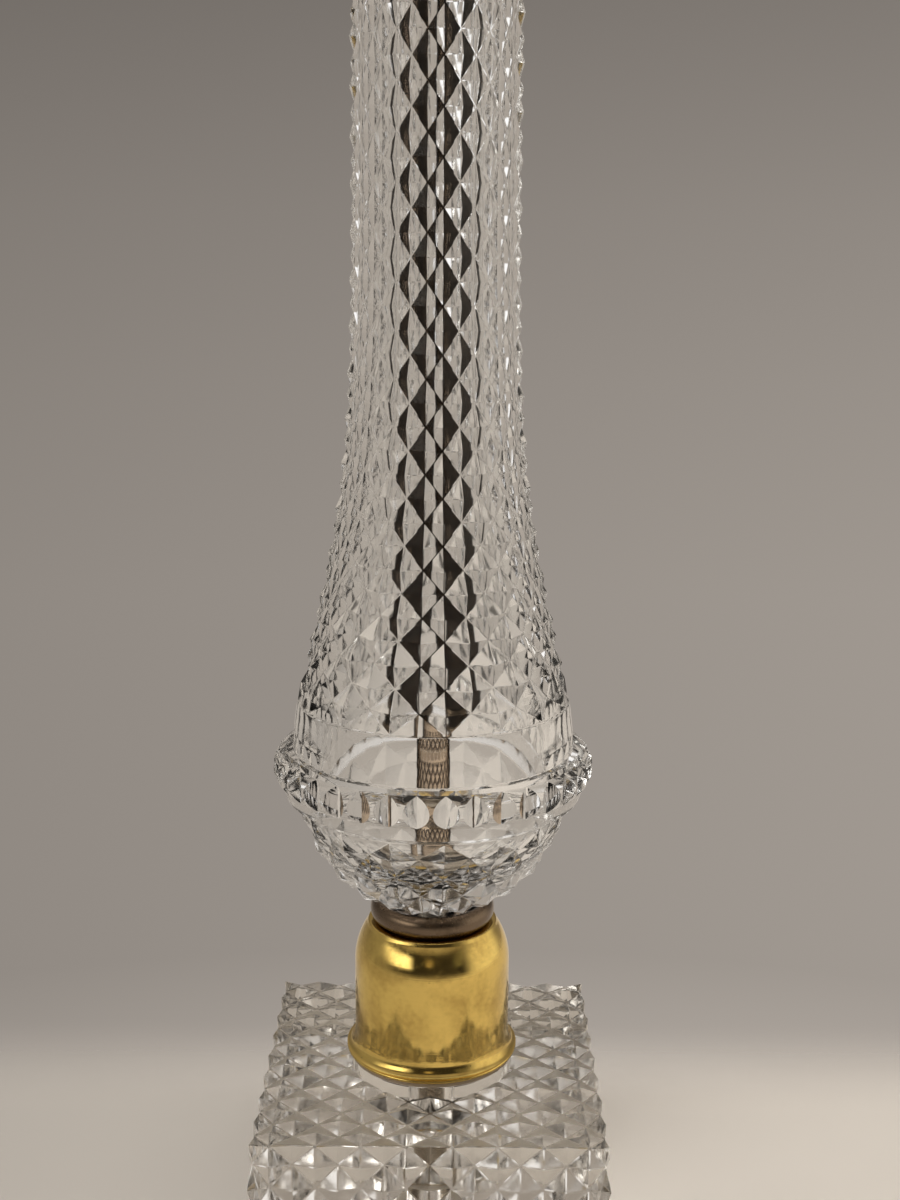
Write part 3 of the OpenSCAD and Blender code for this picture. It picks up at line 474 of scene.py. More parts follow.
handling_marks, size, end = effect("handling_marks", {"Size": 0.012, "Cover": 0.5}, "Marks")
point = put(handling_marks, "ShaderNodeTexCoord", out="Object")
broad = noise(handling_marks, point, size["Size"] ** -1.0, 3.0)
fine = noise(handling_marks, point, (size["Size"] ** -1.0) * 7.0, 4.0)
feed(end.inputs["Marks"], eased_step(broad * 0.75 + fine * 0.25, 1.0 - size["Cover"], 1.35 - size["Cover"]))


def bump(tree, height, depth):
    """A surface normal from a height between 0 and 1 that stands for a depth in metres."""
    return put(tree, "ShaderNodeBump", {"Height": height, "Distance": depth, "Strength": 1.0})


def finish(name, **plain):
    """Starts a material, and sets the plain values of its surface."""
    material = bpy.data.materials.new(name)
    material.use_nodes = True
    surface = material.node_tree.nodes["Principled BSDF"]
    for label, value in plain.items():
        surface.inputs[label.replace("_", " ")].default_value = value
    return material, material.node_tree, surface


def placed(tree, group, **settings):
    """Places a shared effect with its own values."""
    return put(tree, "ShaderNodeGroup", {k.replace("_", " "): v for k, v in settings.items()}, node_tree=group)


crystal, tree, surface = finish("cut_crystal", IOR=1.545, Transmission_Weight=1.0)
marks = placed(tree, handling_marks, Size=0.02, Cover=0.48)
point = put(tree, "ShaderNodeTexCoord", out="Object")
height = parts_of(point)[2]
clear = mixed(tree, marks, (0.99, 0.992, 0.99, 1.0), (0.97, 0.972, 0.965, 1.0))
# Painted shade: the glass below about 54 to 80 mm, the thick base block, takes a darker warm colour. This is partly
# the tint of thick glass and partly painted shade that keeps the base from looking too bright.
thick_tint_and_shade = 1.0 - eased_step(height, 0.054, 0.080)
feed(surface.inputs["Base Color"], mixed(tree, thick_tint_and_shade, clear, (0.80, 0.775, 0.735, 1.0)))
surface.inputs["Specular Tint"].default_value = (0.22, 0.21, 0.20, 1.0)
plain = eased_step(height, 0.156, 0.160) * (1.0 - eased_step(height, 0.1915, 0.1935))
feed(surface.inputs["Roughness"], 0.04 + (1.0 - plain) * (0.04 + 0.06 * marks))
feed(surface.inputs["Normal"], bump(tree, noise(tree, point, 160.0, 2.0), 0.00004))

net, size = maker("diamond_block", {"Width": 127.0, "Height": 48.5, "Foot height": 1.5, "Diamonds": 8,
                                    "Side rows": 5, "Plain band": 3.5, "Ground edge": 0.9,
                                    "Groove rise": 0.36})
half = size["Diamonds"]
step = size["Width"] / (half * 2.0)
groove = size["Groove rise"] * step * math.sqrt(0.5)
rows = size["Side rows"]
block = put(net, "GeometryNodeMeshCube", {
    "Size": xyz(net, half * 2.0, half * 2.0, rows + 1.0),
    "Vertices X": half * 2.0 + 1.0, "Vertices Y": half * 2.0 + 1.0, "Vertices Z": rows + 2.0})
x, y, z = parts_of(put(net, "GeometryNodeInputPosition"))
whole = xyz(net, x.by("ROUND"), y.by("ROUND"), ((rows + 1.0) * 0.5 - z).by("ROUND"))
block, whole = kept(block, "Whole", whole)
x, y, row = parts_of(whole)
sunk = (x.by("ABSOLUTE") + y.by("ABSOLUTE") + row.by("MINIMUM", rows)).by("FLOORED_MODULO", 2.0)
place = put(net, "GeometryNodeInputPosition")
swollen = put(net, "ShaderNodeVectorMath", {0: place, "Scale": 1.05 - 0.05 * sunk}, operation="SCALE")
block = put(net, "GeometryNodeSetPosition", {"Geometry": block, "Position": swollen})
block = put(net, "GeometryNodeTriangulate", {"Mesh": block}, quad_method="SHORTEST_DIAGONAL")
on_top = row.by("LESS_THAN", 0.5)


def at_side(number):
    return number.by("ABSOLUTE").by("GREATER_THAN", half - 0.5)


on_rim = at_side(x).by("MAXIMUM", at_side(y))
back = sunk * groove + (1.0 - sunk) * on_top * on_rim * size["Ground edge"]
row_h = (size["Height"] - size["Plain band"]) / rows
height = (size["Height"] - row * row_h - on_top * back) * row.by("LESS_THAN", rows + 0.5)
place = xyz(net, x * step - at_side(x) * x.by("SIGN") * back, y * step - at_side(y) * y.by("SIGN") * back,
            height + size["Foot height"])
block = put(net, "GeometryNodeSetPosition", {"Geometry": block, "Position": place})
hand_over(net, size, block)

rod_hole = 5.3
base_top = 50.0
boss_top = 53.2
cord_z = 8.9
base_cut = 0.36 * 7.9375 * math.sqrt(0.5)
bush_seat = 63.5 - base_cut - 0.4
to_back = Matrix.Translation((0.0, 0.0, cord_z)) @ Matrix.Rotation(math.radians(-90.0), 4, "X")
cut_block = bevelled(made_by(net, crystal), 0.28)
boss = lathe(eased([(0.0, base_top - 2.0 * base_cut), (30.5, base_top - 2.0 * base_cut), (30.5, boss_top), (0.0, boss_top)], 0.5), 160)
base = shaped(cut_block, ("UNION", boss), ("DIFFERENCE", rod_of(rod_hole, 0.0, 60.0)),
              ("DIFFERENCE", lathe(eased([(0.0, -1.0), (23.0, -1.0), (23.0, 15.5), (0.0, 15.5)], 1.2), 128)),
              ("DIFFERENCE", turned_to(rod_of(4.35, 0.0, 80.0, 64), to_back)),
              ("DIFFERENCE", turned_to(rod_of(5.95, bush_seat, 80.0, 64), to_back)))
fitted("base_crystal", base, crystal, crease=9.0).visible_shadow = False


# Felt: a square of pressed wool felt with rounded corners, glued under the base, so
# that the ground glass doesn't scratch the table.
felt_half = 62.3 - base_cut
felt_corner = 3.0
corners = [(1, 1, 0), (-1, 1, 90), (-1, -1, 180), (1, -1, 270)]
outline = []
for side_x, side_y, turn in corners:
    middle = felt_half - felt_corner
    outline += arc(side_x * middle, side_y * middle, felt_corner, felt_corner, turn, turn + 90, 6)
felt_cloth, tree, surface = finish("pressed_felt", Sheen_Weight=0.35)
surface.inputs["Sheen Roughness"].default_value = 0.5
point = put(tree, "ShaderNodeTexCoord", out="Object")
fibres = noise(tree, point, 2600.0, 6.0, Distortion=1.6)
tufts = noise(tree, point, 420.0, 3.0)
feed(surface.inputs["Base Color"], mixed(tree, fibres, (0.48, 0.445, 0.395, 1.0), (0.60, 0.56, 0.50, 1.0)))
feed(surface.inputs["Roughness"], 0.9 + 0.1 * tufts)
feed(surface.inputs["Normal"], bump(tree, fibres * 0.6 + tufts * 0.4, 0.00025))
fitted("base_felt", bevelled(prism(outline, 0.0, 1.45), 0.35, 50.0, 3), felt_cloth, crease=60.0)


# Cord bushing: a brown moulded bush with a round flange, pressed into the back of the
# base, where it guards the cord against the edge of the glass.
def moulding(name, colour, worn, low, high):
    """Moulded plastic: fine orange peel, with duller patches where it is handled."""
    material, tree, surface = finish(name, IOR=1.5)
    marks = placed(tree, handling_marks, Size=0.006, Cover=0.5)
    point = put(tree, "ShaderNodeTexCoord", out="Object")
    feed(surface.inputs["Base Color"], mixed(tree, marks, (*colour, 1.0), (*worn, 1.0)))
    feed(surface.inputs["Roughness"], low + (high - low) * marks)
    feed(surface.inputs["Normal"], bump(tree, noise(tree, point, 1800.0, 2.0), 0.00002))
    return material


brown_plastic = moulding("brown_plastic", (0.11, 0.055, 0.028), (0.16, 0.09, 0.05), 0.28, 0.5)
profile = eased([(2.8, 14.0), (2.8, 0.6), (3.4, 0.0), (4.8, 0.0)], 0.1)[:-4]
profile += arc(4.8, 1.0, 1.0, 1.0, -90, 0, 6) + [(5.8, 2.0), (4.2, 2.0)]
profile += [(4.2, 12.8), (3.9, 14.0)]
from_back = Matrix.Translation((0.0, bush_seat + 2.0, cord_z)) @ Matrix.Rotation(math.radians(90.0), 4, "X")
fitted("cord_bushing", turned_to(lathe(profile, 64), from_back), brown_plastic)


# Threaded rod: a zinc-plated steel pipe that runs up through the whole lamp. It is
# threaded at both ends, and the cord passes up its bore.
spun_lines, size, end = effect("spun_lines", {"Spacing": 0.0002}, "Lines")
x, y, z = parts_of(put(spun_lines, "ShaderNodeTexCoord", out="Object"))
along = ((x * x + y * y).by("SQRT") * 1.3 + z) / size["Spacing"]
lines = put(spun_lines, "ShaderNodeTexNoise", {"W": along, "Scale": 1.0, "Detail": 3.0}, noise_dimensions="1D")
feed(end.inputs["Lines"], lines)

fine_scratches, size, end = effect("fine_scratches", {"Size": 0.004}, "Scratches")
point = put(fine_scratches, "ShaderNodeTexCoord", out="Object")
found = None
for turn in (0.4, 1.5, 2.6):
    slanted = put(fine_scratches, "ShaderNodeMapping", {"Vector": point, "Rotation": (turn, 0.3, turn * 2.0),
                                                        "Scale": (1.0, 18.0, 5.0)})
    wave = noise(fine_scratches, slanted, size["Size"] ** -1.0, 1.0)
    line = 1.0 - eased_step((wave - 0.5).by("ABSOLUTE"), 0.0, 0.012)
    found = line if found is None else found.by("MAXIMUM", line)
gaps = noise(fine_scratches, point, (size["Size"] ** -1.0) * 0.7, 2.0)
feed(end.inputs["Scratches"], found * eased_step(gaps, 0.45, 0.6))

dark_specks, size, end = effect("dark_specks", {"Spacing": 0.004, "Size": 0.06}, "Specks")
point = put(dark_specks, "ShaderNodeTexCoord", out="Object")
cells = put(dark_specks, "ShaderNodeTexVoronoi", {"Vector": point, "Scale": size["Spacing"] ** -1.0})
kind = parts_of(cells.other("Color"))[0]
spots = (1.0 - eased_step(cells, size["Size"] * 0.5, size["Size"])) * eased_step(kind, 0.6, 0.7)
feed(end.inputs["Specks"], spots)


def metal(name, bright, dull, low, high, lines=0.0, spacing=0.0002, cover=0.5, marks=0.012, specks=0.0):
    """Bare or plated metal: tarnish in patches, turning lines, scratches and specks."""
    material, tree, surface = finish(name, Metallic=1.0)
    patches = placed(tree, handling_marks, Size=marks, Cover=cover)
    turning = placed(tree, spun_lines, Spacing=spacing)
    scratched = placed(tree, fine_scratches, Size=0.005)
    colour = mixed(tree, patches * 0.8 + turning * 0.2, (*bright, 1.0), (*dull, 1.0))
    if specks:
        spots = placed(tree, dark_specks, Spacing=0.005, Size=specks)
        colour = mixed(tree, spots, colour, (*[part * 0.12 for part in dull], 1.0))
    feed(surface.inputs["Base Color"], colour)
    feed(surface.inputs["Roughness"], low + (high - low) * patches + 0.10 * scratched)
    feed(surface.inputs["Normal"], bump(tree, turning * lines - scratched * 0.15, 0.00002))
    return material


thread, size = maker("thread", {"Root radius": 4.4, "Crest radius": 4.85, "Pitch": 0.94, "Turns": 20,
                                "Steps": 24, "Start": 0.0})
total = size["Turns"] * size["Steps"]
sheet = put(thread, "GeometryNodeMeshGrid", {"Size X": total, "Size Y": 3.0, "Vertices X": total + 1.0,
                                             "Vertices Y": 4})
x, y, z = parts_of(put(thread, "GeometryNodeInputPosition"))
along = x + total * 0.5
side = (y + 1.5).by("ROUND")
fade = (along.by("MINIMUM", total - along) / size["Steps"] * 1.5).by("MINIMUM", 1.0).by("MAXIMUM", 0.0)
crest = side.by("COMPARE", 1.0, 0.1)
shift = side.by("COMPARE", 2.0, 0.1) - side.by("COMPARE", 0.0, 0.1) - side.by("COMPARE", 3.0, 0.1)
sink = 0.3
radius = size["Root radius"] - sink + crest * fade * (size["Crest radius"] - size["Root radius"] + sink)
angle = along / size["Steps"] * (2.0 * math.pi)
height = size["Start"] + size["Pitch"] * (along / size["Steps"] + shift * fade * 0.56)
spiral = xyz(thread, radius * angle.by("COSINE"), radius * angle.by("SINE"), height)
sheet = put(thread, "GeometryNodeSetPosition", {"Geometry": sheet, "Position": spiral})
sheet = put(thread, "GeometryNodeMergeByDistance", {"Geometry": sheet, "Distance": 0.0005})
hand_over(thread, size, sheet)

zinc = metal("zinc_plate", (0.55, 0.50, 0.43), (0.30, 0.25, 0.20), 0.22, 0.42, lines=0.4, marks=0.008)
rod_foot = 4.7
rod_head = 505.0
core = lathe(eased([(3.2, rod_foot), (4.4, rod_foot), (4.4, 142.0), (4.85, 143.0), (4.85, 462.0), (4.4, 463.0),
                    (4.4, rod_head), (3.2, rod_head)], 0.3), 64)
low_thread = facing_out(made_by(thread, zinc, Turns=144, Start=rod_foot + 0.8))
high_thread = facing_out(made_by(thread, zinc, Turns=43, Start=464.0))
fitted("threaded_rod", merged(core, low_thread, high_thread), zinc, crease=40.0)


# Base nut, lock washer and washer: the rod's lower fixing, drawn up against the glass
# in the recess. The split washer keeps the brass nut from working loose.
def hex_nut(low, high, across=16.0, hole=5.0):
    """A hexagonal nut, its corners turned off at both ends."""
    corner = across / 2.0 / math.cos(math.radians(30.0))
    cone = (corner - across / 2.0) / 2.0
    six = [(corner * math.cos(math.radians(60 * n)), corner * math.sin(math.radians(60 * n))) for n in range(6)]
    turned = lathe([(0.0, low), (across / 2.0, low), (corner, low + cone), (corner, high - cone),
                    (across / 2.0, high), (0.0, high)], 96)
    nut = shaped(prism(six, low, high), ("INTERSECT", turned), ("DIFFERENCE", lathe(
        [(0.0, low - 1.0), (hole + 1.5, low - 1.0), (hole, low + 0.5), (hole, high - 0.5),
         (hole + 1.5, high + 1.0), (0.0, high + 1.0)], 64)))
    return bevelled(nut, 0.15, 25.0, 2)


raw_brass = metal("turned_brass", (0.80, 0.57, 0.22), (0.50, 0.33, 0.13), 0.20, 0.38, lines=1.0, marks=0.007)
spring_steel = metal("spring_steel", (0.26, 0.25, 0.25), (0.12, 0.11, 0.11), 0.30, 0.48, lines=0.5)
fitted("base_nut", hex_nut(6.9, 11.9), raw_brass)
slit = prism([(0.0, -0.8), (12.0, -0.8), (12.0, 0.8), (0.0, 0.8)], 10.0, 15.0)
fitted("base_lock_washer", bevelled(shaped(tube(8.5, 5.0, 11.9, 13.5, 0.2), ("DIFFERENCE", slit)), 0.12, 40.0),
       spring_steel)
fitted("base_washer", tube(17.0, 5.0, 13.5, 15.42, 0.3), zinc)


# Cup washer: a ring of grey-brown pressed fibre between the cup's rolled lip and the
# ground boss, so that metal never bears on glass.
fibre, tree, surface = finish("pressed_fibre", IOR=1.45)
point = put(tree, "ShaderNodeTexCoord", out="Object")
flecks = noise(tree, point, 900.0, 5.0)
feed(surface.inputs["Base Color"], mixed(tree, flecks, (0.20, 0.15, 0.10, 1.0), (0.34, 0.27, 0.19, 1.0)))
feed(surface.inputs["Roughness"], 0.6 + 0.3 * flecks)
feed(surface.inputs["Normal"], bump(tree, flecks, 0.00008))
fitted("cup_washer", tube(30.9, 24.0, boss_top + 0.05, 55.0, 0.3, 128), fibre)


# Brass cup: spun from sheet brass over a form, its lip flared and rolled, then polished
# on a wheel and left bare, so that it has picked up specks and a little tarnish.
cup_z = 55.0
cup_r = 29.0
cup_wall = 1.2
cup_h = 51.5
shoulder_r = 26.0
shoulder_z = 35.5
shoulder_end = math.degrees(math.asin((cup_h - 1.2 - shoulder_z) / shoulder_r))
crown_at = cup_r - shoulder_r + shoulder_r * math.cos(math.radians(shoulder_end)) - 0.6


def cup_flare(inset, low):
    """The curve from the straight wall out to the lip, on a face set in by the wall."""
    reach = 3.1 - (0.3 if inset else 0.0)
    turns = [math.radians(90.0 - 90.0 * n / 16) for n in range(17)]
    return [(cup_r - inset + reach * (1.0 - math.cos(a)), 8.0 - (8.0 - low) * math.sin(a)) for a in turns]


outline = arc(31.3, 0.8, 0.8, 0.8, -90, 60, 14) + cup_flare(0.0, 1.6)
outline += arc(cup_r - shoulder_r, shoulder_z, shoulder_r, shoulder_r, 0, shoulder_end, 30)
outline += arc(crown_at - 0.6, cup_h - 1.2, 1.2, 1.2, 45, 90, 6)
outline += [(5.0, cup_h), (5.0, cup_h - cup_wall), (crown_at - 1.2, cup_h - cup_wall)]
outline += arc(cup_r - shoulder_r, shoulder_z, shoulder_r - cup_wall, shoulder_r - cup_wall,
               shoulder_end, 0, 30)
outline += cup_flare(cup_wall, 0.0)[::-1]
polished_brass = metal("polished_brass", (0.90, 0.65, 0.19), (0.54, 0.36, 0.10), 0.06, 0.22, lines=0.3,
                       spacing=0.00035, cover=0.62, marks=0.013, specks=0.06)
fitted("brass_cup", lathe([(r, z + cup_z) for r, z in outline], 192), polished_brass, crease=50.0)


# Seating ring: turned bronze with a round rim, darkened and rubbed to a satin. The
# column's foot nests inside it.
seat_z = 106.5
outline = [(5.0, 0.0), (19.4, 0.0)] + arc(20.3, 4.4, 2.8, 4.1, -108, 222, 44) + [(5.0, 1.4)]
bronze = metal("satin_bronze", (0.20, 0.145, 0.10), (0.09, 0.062, 0.038), 0.26, 0.42, lines=0.7,
               spacing=0.0005, marks=0.01)
fitted("seating_ring", lathe([(r, z + seat_z) for r, z in outline], 192), bronze, crease=50.0)


# Foot washer: a thin soft ring that the crystal foot rests on.
rubber, tree, surface = finish("soft_rubber", IOR=1.5)
point = put(tree, "ShaderNodeTexCoord", out="Object")
bloom = noise(tree, point, 350.0, 4.0)
feed(surface.inputs["Base Color"], mixed(tree, bloom, (0.018, 0.018, 0.019, 1.0), (0.045, 0.044, 0.043, 1.0)))
feed(surface.inputs["Roughness"], 0.55 + 0.3 * bloom)
feed(surface.inputs["Normal"], bump(tree, bloom, 0.00005))
foot_washer_z = 107.9
column_z = 109.1
fitted("foot_washer", tube(16.6, 8.0, foot_washer_z, column_z, 0.3), rubber)


# Column: blown lead crystal with a thick wall. The bowl and the long stem are cut with
# slanting grooves into diamonds, the collar ring is notched all round, and the band
# above it is left plain and clear.
ledge = 65.9
bowl_top = 45.0
ring_low = 45.4
cuts_low = 83.4
cuts_high = 342.3
stem_r = 29.4
belly_r = 51.0
bowl_r = 49.2
foot_r = 17.2

net, size = maker("diamond_column", {
    "Diamonds": 16, "Bowl rows": 6, "Stem rows": 32, "First row": 0.82, "Bowl groove rise": 0.36,
    "Stem groove rise": 0.5,
    "Foot radius": 17.8, "Bowl radius": bowl_r, "Bowl height": 38.5, "Bowl top": bowl_top,
    "Bowl fullness": 1.65, "Belly radius": belly_r, "Stem radius": stem_r, "Ledge": ledge,
    "Flare length": 74.0, "Flare power": 1.7, "Cuts low": cuts_low, "Cuts high": cuts_high})
around = size["Diamonds"] * 2.0
last = size["Bowl rows"] + size["Stem rows"] + 2.0
bar = put(net, "GeometryNodeMeshCylinder", {"Vertices": around, "Side Segments": last, "Depth": last,
                                            "Radius": around / (2.0 * math.pi)})
x, y, z = parts_of(put(net, "GeometryNodeInputPosition"))
col = (y.by("ARCTAN2", x) * around / (2.0 * math.pi)).by("ROUND")
row = (z + last * 0.5).by("ROUND")
bar, whole = kept(bar, "Whole", xyz(net, col, row, 0.0))
col, row, z = parts_of(whole)
bowl = size["Bowl rows"]
on_bowl = row.by("LESS_THAN", bowl + 0.5)
odd = (col + row).by("FLOORED_MODULO", 2.0)
valley = on_bowl * (1.0 - odd) + (1.0 - on_bowl) * odd
place = put(net, "GeometryNodeInputPosition")
swollen = put(net, "ShaderNodeVectorMath", {0: place, "Scale": 1.05 - 0.05 * valley}, operation="SCALE")
bar = put(net, "GeometryNodeSetPosition", {"Geometry": bar, "Position": swollen})
bar = put(net, "GeometryNodeTriangulate", {"Mesh": bar}, quad_method="SHORTEST_DIAGONAL")


def groove_depth(radius, tall, groove_rise):
    """Depth of two crossing grooves, from the radius and the height of a diamond."""
    wide = radius * (2.0 * math.pi) / size["Diamonds"]
    return groove_rise * 0.5 * wide * tall / (wide * wide + tall * tall).by("SQRT")


def bowl_curve(t):
    """Radius and height on the bowl, t from 0 at its top to 1 at the foot."""
    angle = t * (math.pi / 2.0)
    power = 2.0 * size["Bowl fullness"] ** -1.0
    out = (size["Bowl radius"] - size["Foot radius"]) * angle.by("COSINE").by("ABSOLUTE") ** power
    down = size["Bowl height"] * angle.by("SINE").by("ABSOLUTE") ** power
    return size["Foot radius"] + out, size["Bowl top"] - down


bowl_stretch = 1.3
t = 1.0 - row / bowl
bowl_out, bowl_up = bowl_curve(t)
next_out, next_up = bowl_curve(t + 0.02)
last_out, last_up = bowl_curve(t - 0.02)
run = next_out - last_out
drop = next_up - last_up
slant = (run * run + drop * drop).by("SQRT")
cut_here = valley * row.by("GREATER_THAN", 0.5) * (1.0 - row.by("COMPARE", bowl, 0.1))
diamond_h = size["Bowl height"] / bowl * (2.0 * bowl_stretch)
push = cut_here * groove_depth(bowl_out, diamond_h, size["Bowl groove rise"]) / slant
bowl_out = bowl_out + push * drop
bowl_up = bowl_up - push * run
row_h = (size["Cuts high"] - size["Cuts low"]) / (size["Stem rows"] + size["First row"])
step = (row - bowl - 2.0 + size["First row"]).by("MAXIMUM", 0.0)
stem_up = size["Cuts low"] + step * row_h
taper = (((stem_up - size["Ledge"]) / size["Flare length"]) ** size["Flare power"] * -1.0).by("EXPONENT")
stem_out = (size["Stem radius"] + (size["Belly radius"] - size["Stem radius"]) * taper)
stem_out = stem_out.by("MINIMUM", size["Bowl radius"])
cut_here = valley * row.by("GREATER_THAN", bowl + 1.5) * row.by("LESS_THAN", last - 0.5)
stem_out = stem_out - cut_here * groove_depth(stem_out, row_h * 2.0, size["Stem groove rise"])
radius = on_bowl * bowl_out + (1.0 - on_bowl) * stem_out
height = on_bowl * bowl_up + (1.0 - on_bowl) * stem_up
angle = (col + 0.5) * (2.0 * math.pi) / around - math.pi / 2.0
place = xyz(net, radius * angle.by("COSINE"), radius * angle.by("SINE"), height)
bar = put(net, "GeometryNodeSetPosition", {"Geometry": bar, "Position": place})
hand_over(net, size, bar)

spaced, size = maker("spaced_round", {"Count": 36, "First angle": 0.0}, takes_shape=True)
turn = put(spaced, "GeometryNodeInputIndex") * (2.0 * math.pi) / size["Count"] + size["First angle"]
spots = put(spaced, "GeometryNodePoints", {"Count": size["Count"]})
rotation = put(spaced, "FunctionNodeEulerToRotation", {0: xyz(spaced, 0.0, 0.0, turn)})
spread = put(spaced, "GeometryNodeInstanceOnPoints", {"Points": spots, "Instance": size["Shape"],
                                                      "Rotation": rotation})
hand_over(spaced, size, spread)


def stem_at(height):
    """Radius of the uncut glass above the ledge."""
    return stem_r + (belly_r - stem_r) * math.exp(-((max(height - ledge, 0.0) / 74.0) ** 1.7))


crest_r = 58.3
crest_z = 59.0
band_half = 5.9
notch_depth = 2.9
notches = 36
root_r = crest_r - notch_depth
bow = (band_half ** 2 + notch_depth ** 2) / (2.0 * notch_depth)
bow_half = math.degrees(math.asin(band_half / bow))
plain_top = cuts_low - 0.4
outline = [(24.6, ring_low), (bowl_r + 0.3, ring_low), (root_r - 1.6, ring_low + 2.7)]
outline += arc(crest_r - bow, crest_z, bow, bow, -bow_half, bow_half, 24)
outline += [(root_r - 1.9, ledge)]
outline += [(stem_at(ledge + (plain_top - ledge) * n / 8), ledge + (plain_top - ledge) * n / 8) for n in range(9)]
outline += [(24.6, plain_top)]
half_notch = math.pi * crest_r / notches * 1.5
notch = prism([(root_r + 0.15, 0.0), (root_r + 0.15 + notch_depth * 1.5, half_notch),
               (root_r + 0.15 + notch_depth * 1.5, -half_notch)], crest_z - 12.0, crest_z + 12.0)
cutters = made_by(spaced, crystal, notch, Count=notches, First_angle=math.radians(-85.0))
collar = lathe(eased(outline, 0.25, 2), 216)
collar = bevelled(shaped(collar, ("DIFFERENCE", cutters)), 0.12, 20.0)

foot = lathe(eased([(0.0, 0.0), (foot_r - 0.5, 0.0), (foot_r, 0.5), (foot_r, 10.5), (0.0, 10.5)], 0.4), 160)
crown = lathe(eased([(0.0, 340.3), (27.4, 340.3), (27.4, 342.6), (29.8, 342.6), (29.8, 345.5), (29.3, 346.0),
                     (0.0, 346.0)], 0.3), 160)
hollow = [(0.0, 350.0), (0.0, 22.0)] + arc(13.0, bowl_top, 29.2, 23.0, -90, 0, 24)
heights = [ledge + (cuts_high - ledge) * n / 60 for n in range(61)]
hollow += [(min(stem_at(h) - 7.0, 42.2), h) for h in heights] + [(22.4, 350.0)]
column = shaped(bevelled(made_by(net, crystal), 0.18), ("UNION", collar), ("UNION", foot), ("UNION", crown),
                ("DIFFERENCE", lathe(hollow, 160)), ("DIFFERENCE", rod_of(rod_hole, -1.0, 24.0)))
column.transform(Matrix.Translation((0.0, 0.0, column_z)))
fitted("column_crystal", column, crystal, crease=9.0).visible_shadow = False


# Washer and nut in the bowl: they clamp the column's foot, and are seen broken up in
# the diamonds at the bottom of the bowl.
fitted("bowl_washer", tube(12.0, 5.0, 131.1, 133.6, 0.35), zinc)
fitted("bowl_nut", hex_nut(133.6, 141.6), zinc)


# Sleeves: thin plated tubes that hide the rod inside the crystal. The short lower one
# is bright nickel with painted shade in its knurl and at its rims. The long upper one is dark
# nickel painted darker still as painted shade, for the dark room its polish mirrors. A round
# collar, its nickel painted dark the same way, stands between them.
nickel = metal("bright_nickel", (0.66, 0.54, 0.42), (0.37, 0.29, 0.21), 0.02, 0.06, lines=0.15,
               spacing=0.0006)
# Painted shade: this nickel is painted near-black, darker than the plating, for the dark room that its polish mirrors.
dark_nickel = metal("dark_nickel", (0.030, 0.022, 0.016), (0.014, 0.010, 0.007), 0.03, 0.08, lines=0.15,
                    spacing=0.0008)
for plating in (nickel, dark_nickel):
    plating.node_tree.nodes["Principled BSDF"].inputs["Specular Tint"].default_value = (0.22, 0.17, 0.13, 1.0)
sleeve_r = 6.2
tree = nickel.node_tree
surface = tree.nodes["Principled BSDF"]
x, y, z = parts_of(put(tree, "ShaderNodeTexCoord", out="Object"))
# Painted shade: the knurl's grooves, below the sleeve's outer face, are painted near-black.
raised = eased_step((x * x + y * y).by("SQRT") / MM, sleeve_r - 0.13, sleeve_r - 0.01)
# Painted shade: the colour turns near-black where the surface faces away from view, a painted dark reflection at the
# sleeve's rims.
facing_for_painted_rims = put(tree, "ShaderNodeLayerWeight", {"Blend": 0.5}, out="Facing")
plain = Gauge(tree, surface.inputs["Base Color"].links[0].from_socket)
edge = mixed(tree, eased_step(facing_for_painted_rims, 0.25, 0.65), plain, (0.06, 0.04, 0.028, 1.0))
feed(surface.inputs["Base Color"], mixed(tree, raised, (0.05, 0.034, 0.025, 1.0), edge))

knurled, size = maker("rolled_knurl", {"Teeth": 24, "Tooth height": 5.2, "Groove depth": 0.14,
                                       "Low end": 150.0, "Smooth from": 166.9, "Smooth to": 171.45},
                      takes_shape=True)
x, y, z = parts_of(put(knurled, "GeometryNodeInputPosition"))
radius = (x * x + y * y).by("SQRT")
turn = y.by("ARCTAN2", x) * size["Teeth"] / (2.0 * math.pi)
climb = (z - size["Low end"]) / size["Tooth height"]
ridge = (turn + climb).by("PINGPONG", 0.5).by("MINIMUM", (turn - climb).by("PINGPONG", 0.5))
rolled = eased_step(z, size["Low end"] - 0.4, size["Low end"])
rolled = rolled - eased_step(z, size["Smooth from"], size["Smooth from"] + 0.4)
rolled = (rolled + eased_step(z, size["Smooth to"] - 0.4, size["Smooth to"])) * radius.by("GREATER_THAN", 6.15)
sunk = 1.0 - (1.0 - eased_step(ridge, 0.05, 0.22)) * rolled * size["Groove depth"] / radius
pressed = put(knurled, "GeometryNodeSetPosition", {"Geometry": size["Shape"],
                                                   "Position": xyz(knurled, x * sunk, y * sunk, z)})
hand_over(knurled, size, pressed)
wall = [(sleeve_r, 149.35 + 0.65 * n) for n in range(43)]
sleeve = lathe(eased([(5.0, 141.6), (sleeve_r, 141.6)] + wall + [(sleeve_r, 177.6), (5.0, 177.6)], 0.3), 192)
fitted("lower_sleeve", made_by(knurled, nickel, sleeve), nickel, crease=60.0)
outline = [(5.0, 177.6)] + arc(6.2, 179.3, 1.7, 1.7, -90, 90, 20) + [(5.0, 181.0)]
# Painted shade: the collar's nickel is painted dark, for the dark room that its polish mirrors.
collar_painted_dark = metal("collar_painted_dark", (0.12, 0.09, 0.06), (0.05, 0.036, 0.024), 0.03, 0.09, lines=0.15)
fitted("sleeve_collar", lathe(outline), collar_painted_dark)
fitted("upper_sleeve", tube(sleeve_r, 5.0, 181.0, 467.85, 0.3), dark_nickel)


